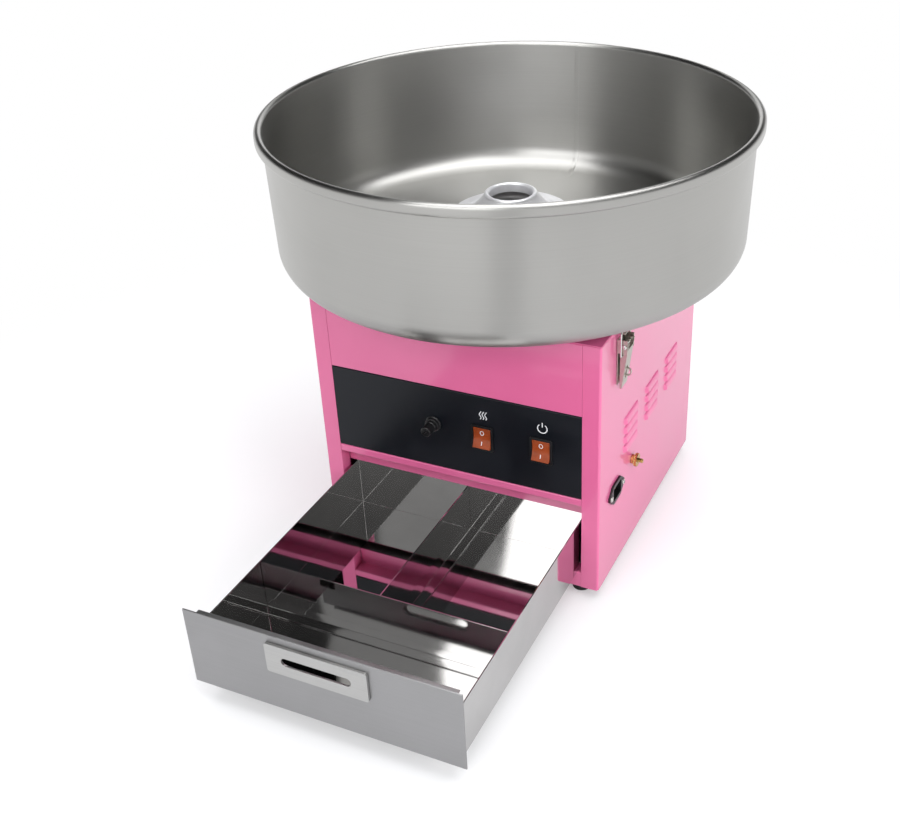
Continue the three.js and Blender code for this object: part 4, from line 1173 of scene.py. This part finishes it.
def stroke(name, points):
    # a printed line, pressed flat on the panel
    (line, roundness), depth = symbols["line"], symbols["depth"]
    piece = wireAlong(name, [(x, 0, z) for x, z in points], line / 2, roundness)
    piece.scale = (1, depth / line * 2, 1)
    piece.location = (0, frontFace - depth * symbols["proud"], 0)
    applyPlace()
    shadeSmooth(softCrease)
    finish(piece, "control_panel", "print", stands=False)


def addSymbols():
    x, z = symbols["power"]
    radius = symbols["radius"]
    turns = [radians(angle) for angle in symbols["loop"]]
    loop = [(x + radius * sin(turn), z + radius * cos(turn)) for turn in turns]
    stroke("symbol_power_ring", loop)
    stroke("symbol_power_bar", [(x, z + height) for height in symbols["bar"]])
    x, z = symbols["heat"]
    for i in range(3):
        middle = x + (i - 1) * symbols["pitch"]
        points = []
        for step in range(symbols["steps"] + 1):
            share = step / symbols["steps"]
            sway = symbols["wave"] * sin(share * 2 * pi * symbols["waves"])
            points.append((middle + sway, z + (share - 0.5) * symbols["height"]))
        stroke("symbol_heat_%d" % (i + 1), points)


addSymbols()
print("symbols: printed")


# Fuse holder

fuse = {
    "x": -0.0235,
    "z": 0.182,
    "sides": 12,
    "barrel": [(0.005, 0.006), (0.005, -0.0268), (0, -0.0268), (0, -0.028), (0.0062, -0.028)],
    "collar": [(0.0062, 0.0003), (0.009, 0.0003), (0.009, 0.0018), (0.0082, 0.0024), (0.0082, 0.005)],
    "collarEdge": ((0.0072, 0.005), 0.001, 0, 90, 4),
    "capInside": [(0, 0.0125), (0.0029, 0.0125), (0.0029, 0.001), (0.0047, 0.001), (0.0047, 0.0063)],
    "capOutside": [(0.0065, 0.0063), (0.0065, 0.009), (0.0058, 0.0096), (0.0058, 0.0186)],
    "capEdge": ((0.0044, 0.0186), 0.0014, 0, 90, 5),
    "proud": 0.02,
    "slot": (0.009, 0.0012, 0.0022),
    "slotTurn": 0.7,
}


def makeFuse():
    place, front = Vector((fuse["x"], frontFace, fuse["z"])), (0, -1, 0)
    outline = fuse["barrel"] + fuse["collar"] + arc(*fuse["collarEdge"])
    finish(turnedAt("fuse_holder_moulded", outline, place, front, fuse["sides"], hardCrease), "fuse_holder")
    outline = fuse["capInside"] + fuse["capOutside"] + arc(*fuse["capEdge"]) + [(0, fuse["proud"])]
    cap = turnedAt("fuse_cap_moulded", outline, place, front)
    cutSlot(cap, place + Vector(front) * fuse["proud"], front, fuse["slot"], fuse["slotTurn"])
    shadeSmooth(turnedCrease)
    finish(cap, "fuse_cap")


makeFuse()
print("fuse: holder and cap")


# Mains inlet and earth terminal

inlet = {
    "y": -0.0146,
    "z": 0.113,
    "edge": 0.0006,
    "pinEdge": 0.0004,
    "earReach": 0.018,
    "flange": 0.0025,
    "screwSize": (0.0031, 0.0018),
    "slotTurn": 0.5,
}
earth = {
    "y": 0.0379,
    "z": 0.12,
    "stud": 0.0025,
    "proud": 0.013,
    "rootDepth": 0.00022,
    "turns": 14,
    "runOut": 0.001,
    "studSteps": 32,
    "head": [(0, -0.0045), (0.005, -0.0045), (0.005, -0.0015), (0.0025, -0.0015)],
    "tip": ((0.00022, 0.0005), (0.0007, 0)),  # in from the stud, and below its end
    "nut": [(0.0028, 0.0003), (0.0052, 0.0003), (0.0052, 0.0036), (0.0071, 0.0038), (0.0075, 0.0042),
            (0.0075, 0.0068), (0.007, 0.0073), (0.0032, 0.0073), (0.0028, 0.0069)],
    "knurls": 48,
    "knurlFrom": 0.0073,  # faces further out than this are the nut's rim
    "leastKnurl": 0.000001,
    "knurlSize": (0.00012, -0.0003),
}


def makeInlet():
    finish(copyOf("inlet_socket", "inlet_moulded", inlet["edge"], fine), "inlet_socket")
    for pin in ("line", "earth", "neutral"):
        node = "inlet_pin_" + pin
        finish(copyOf(node, node + "_stamped", inlet["pinEdge"], fine), node)
    for i, sign in enumerate((-1, 1)):
        place = (sideFace + inlet["flange"], inlet["y"] + sign * inlet["earReach"], inlet["z"])
        addScrew("inlet_screw_%d" % (i + 1), place, (1, 0, 0), "inlet_socket", inlet["screwSize"],
                 inlet["slotTurn"] + i, "chrome")


def makeEarth():
    place, outwards = (sideFace, earth["y"], earth["z"]), (1, 0, 0)
    stud, proud, turns = earth["stud"], earth["proud"], earth["turns"]
    root, length = stud - earth["rootDepth"], proud - 2 * earth["runOut"]
    outline = list(earth["head"])
    for i in range(turns):
        start = earth["runOut"] + length * i / turns
        outline += [(root, start), (stud, start + length / turns / 2)]
    outline += [(stud - inset, proud - depth) for inset, depth in earth["tip"]] + [(0, proud)]
    finish(turnedAt("earth_stud_threaded", outline, place, outwards, earth["studSteps"]), "earth_stud")
    piece = turnedAt("earth_nut_knurled", earth["nut"], place, outwards, earth["knurls"], hardCrease)

    def isKnurl(face):
        away = Vector((0, face.center.y - earth["y"], face.center.z - earth["z"]))
        turn = atan2(away.z, away.y) / (2 * pi) * earth["knurls"]
        onRim = away.length > earth["knurlFrom"] and face.area > earth["leastKnurl"]
        return onRim and turn // 1 % 2 == 0

    choose(piece, "FACE", isKnurl)
    thickness, depth = earth["knurlSize"]
    bpy.ops.mesh.inset(thickness=thickness, depth=depth, use_individual=True)
    endChoice()
    finish(piece, "earth_nut")


makeInlet()
makeEarth()
print("inlet and earth terminal")


# Toggle latches

latch = {
    "edge": 0.00035,
    "wire": (0.001, 5),  # radius and roundness
    "wireFill": 0.97,  # keeps the round wire inside its box
    "bend": (0.0022, 6),  # radius and steps
    "halfWidth": 0.013,
    "inner": 0.0063,
    "pinRadius": 0.0012,
    "pinHead": 0.0009,
    "pinSteps": 24,
}


def makeBail(node):
    low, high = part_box(node)
    (wire, roundness), (bend, steps) = latch["wire"], latch["bend"]
    x, y = (low.x + high.x) / 2, (low.y + high.y) / 2
    corner = latch["halfWidth"] - bend
    half = [(latch["inner"], low.z + wire)] + arc((corner, low.z + wire + bend), bend, -90, 0, steps)
    half += arc((corner, high.z - wire - bend), bend, 0, 90, steps)
    points = half + [(-across, height) for across, height in reversed(half)]
    path = [(x, y + across, height) for across, height in points]
    piece = wireAlong(node + "_wire", path, wire * latch["wireFill"], roundness)
    shadeSmooth(softCrease)
    finish(piece, node, "chrome")


def makePin(node):
    low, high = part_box(node)
    half, radius, headHeight = (high.y - low.y) / 2, latch["pinRadius"], latch["pinHead"]
    crown = dome((high.x - low.x) / 2, headHeight)
    outline = [(0, half)] + [(across, half - headHeight + rise) for across, rise in reversed(crown)]
    outline += [(radius, half - headHeight), (radius, headHeight - half)]
    outline += [(across, headHeight - half - rise) for across, rise in crown] + [(0, -half)]
    piece = turnedAt(node + "_turned", outline, (low + high) / 2, (0, 1, 0), latch["pinSteps"])
    finish(piece, node, "chrome")


for side in ("right", "left"):
    for part in ("base", "lever", "keeper"):
        plate = "latch_%s_%s" % (side, part)
        finish(copyOf(plate, plate + "_pressed", latch["edge"]), plate)
    makeBail("latch_%s_bail" % side)
    makePin("latch_%s_pin" % side)
print("latches: 2")


# Every frame node gets its finish, for those that have no piece of their own

for name, node in nodes.items():
    node.data.materials.clear()
    node.data.materials.append(finishes[slotOf[name]])
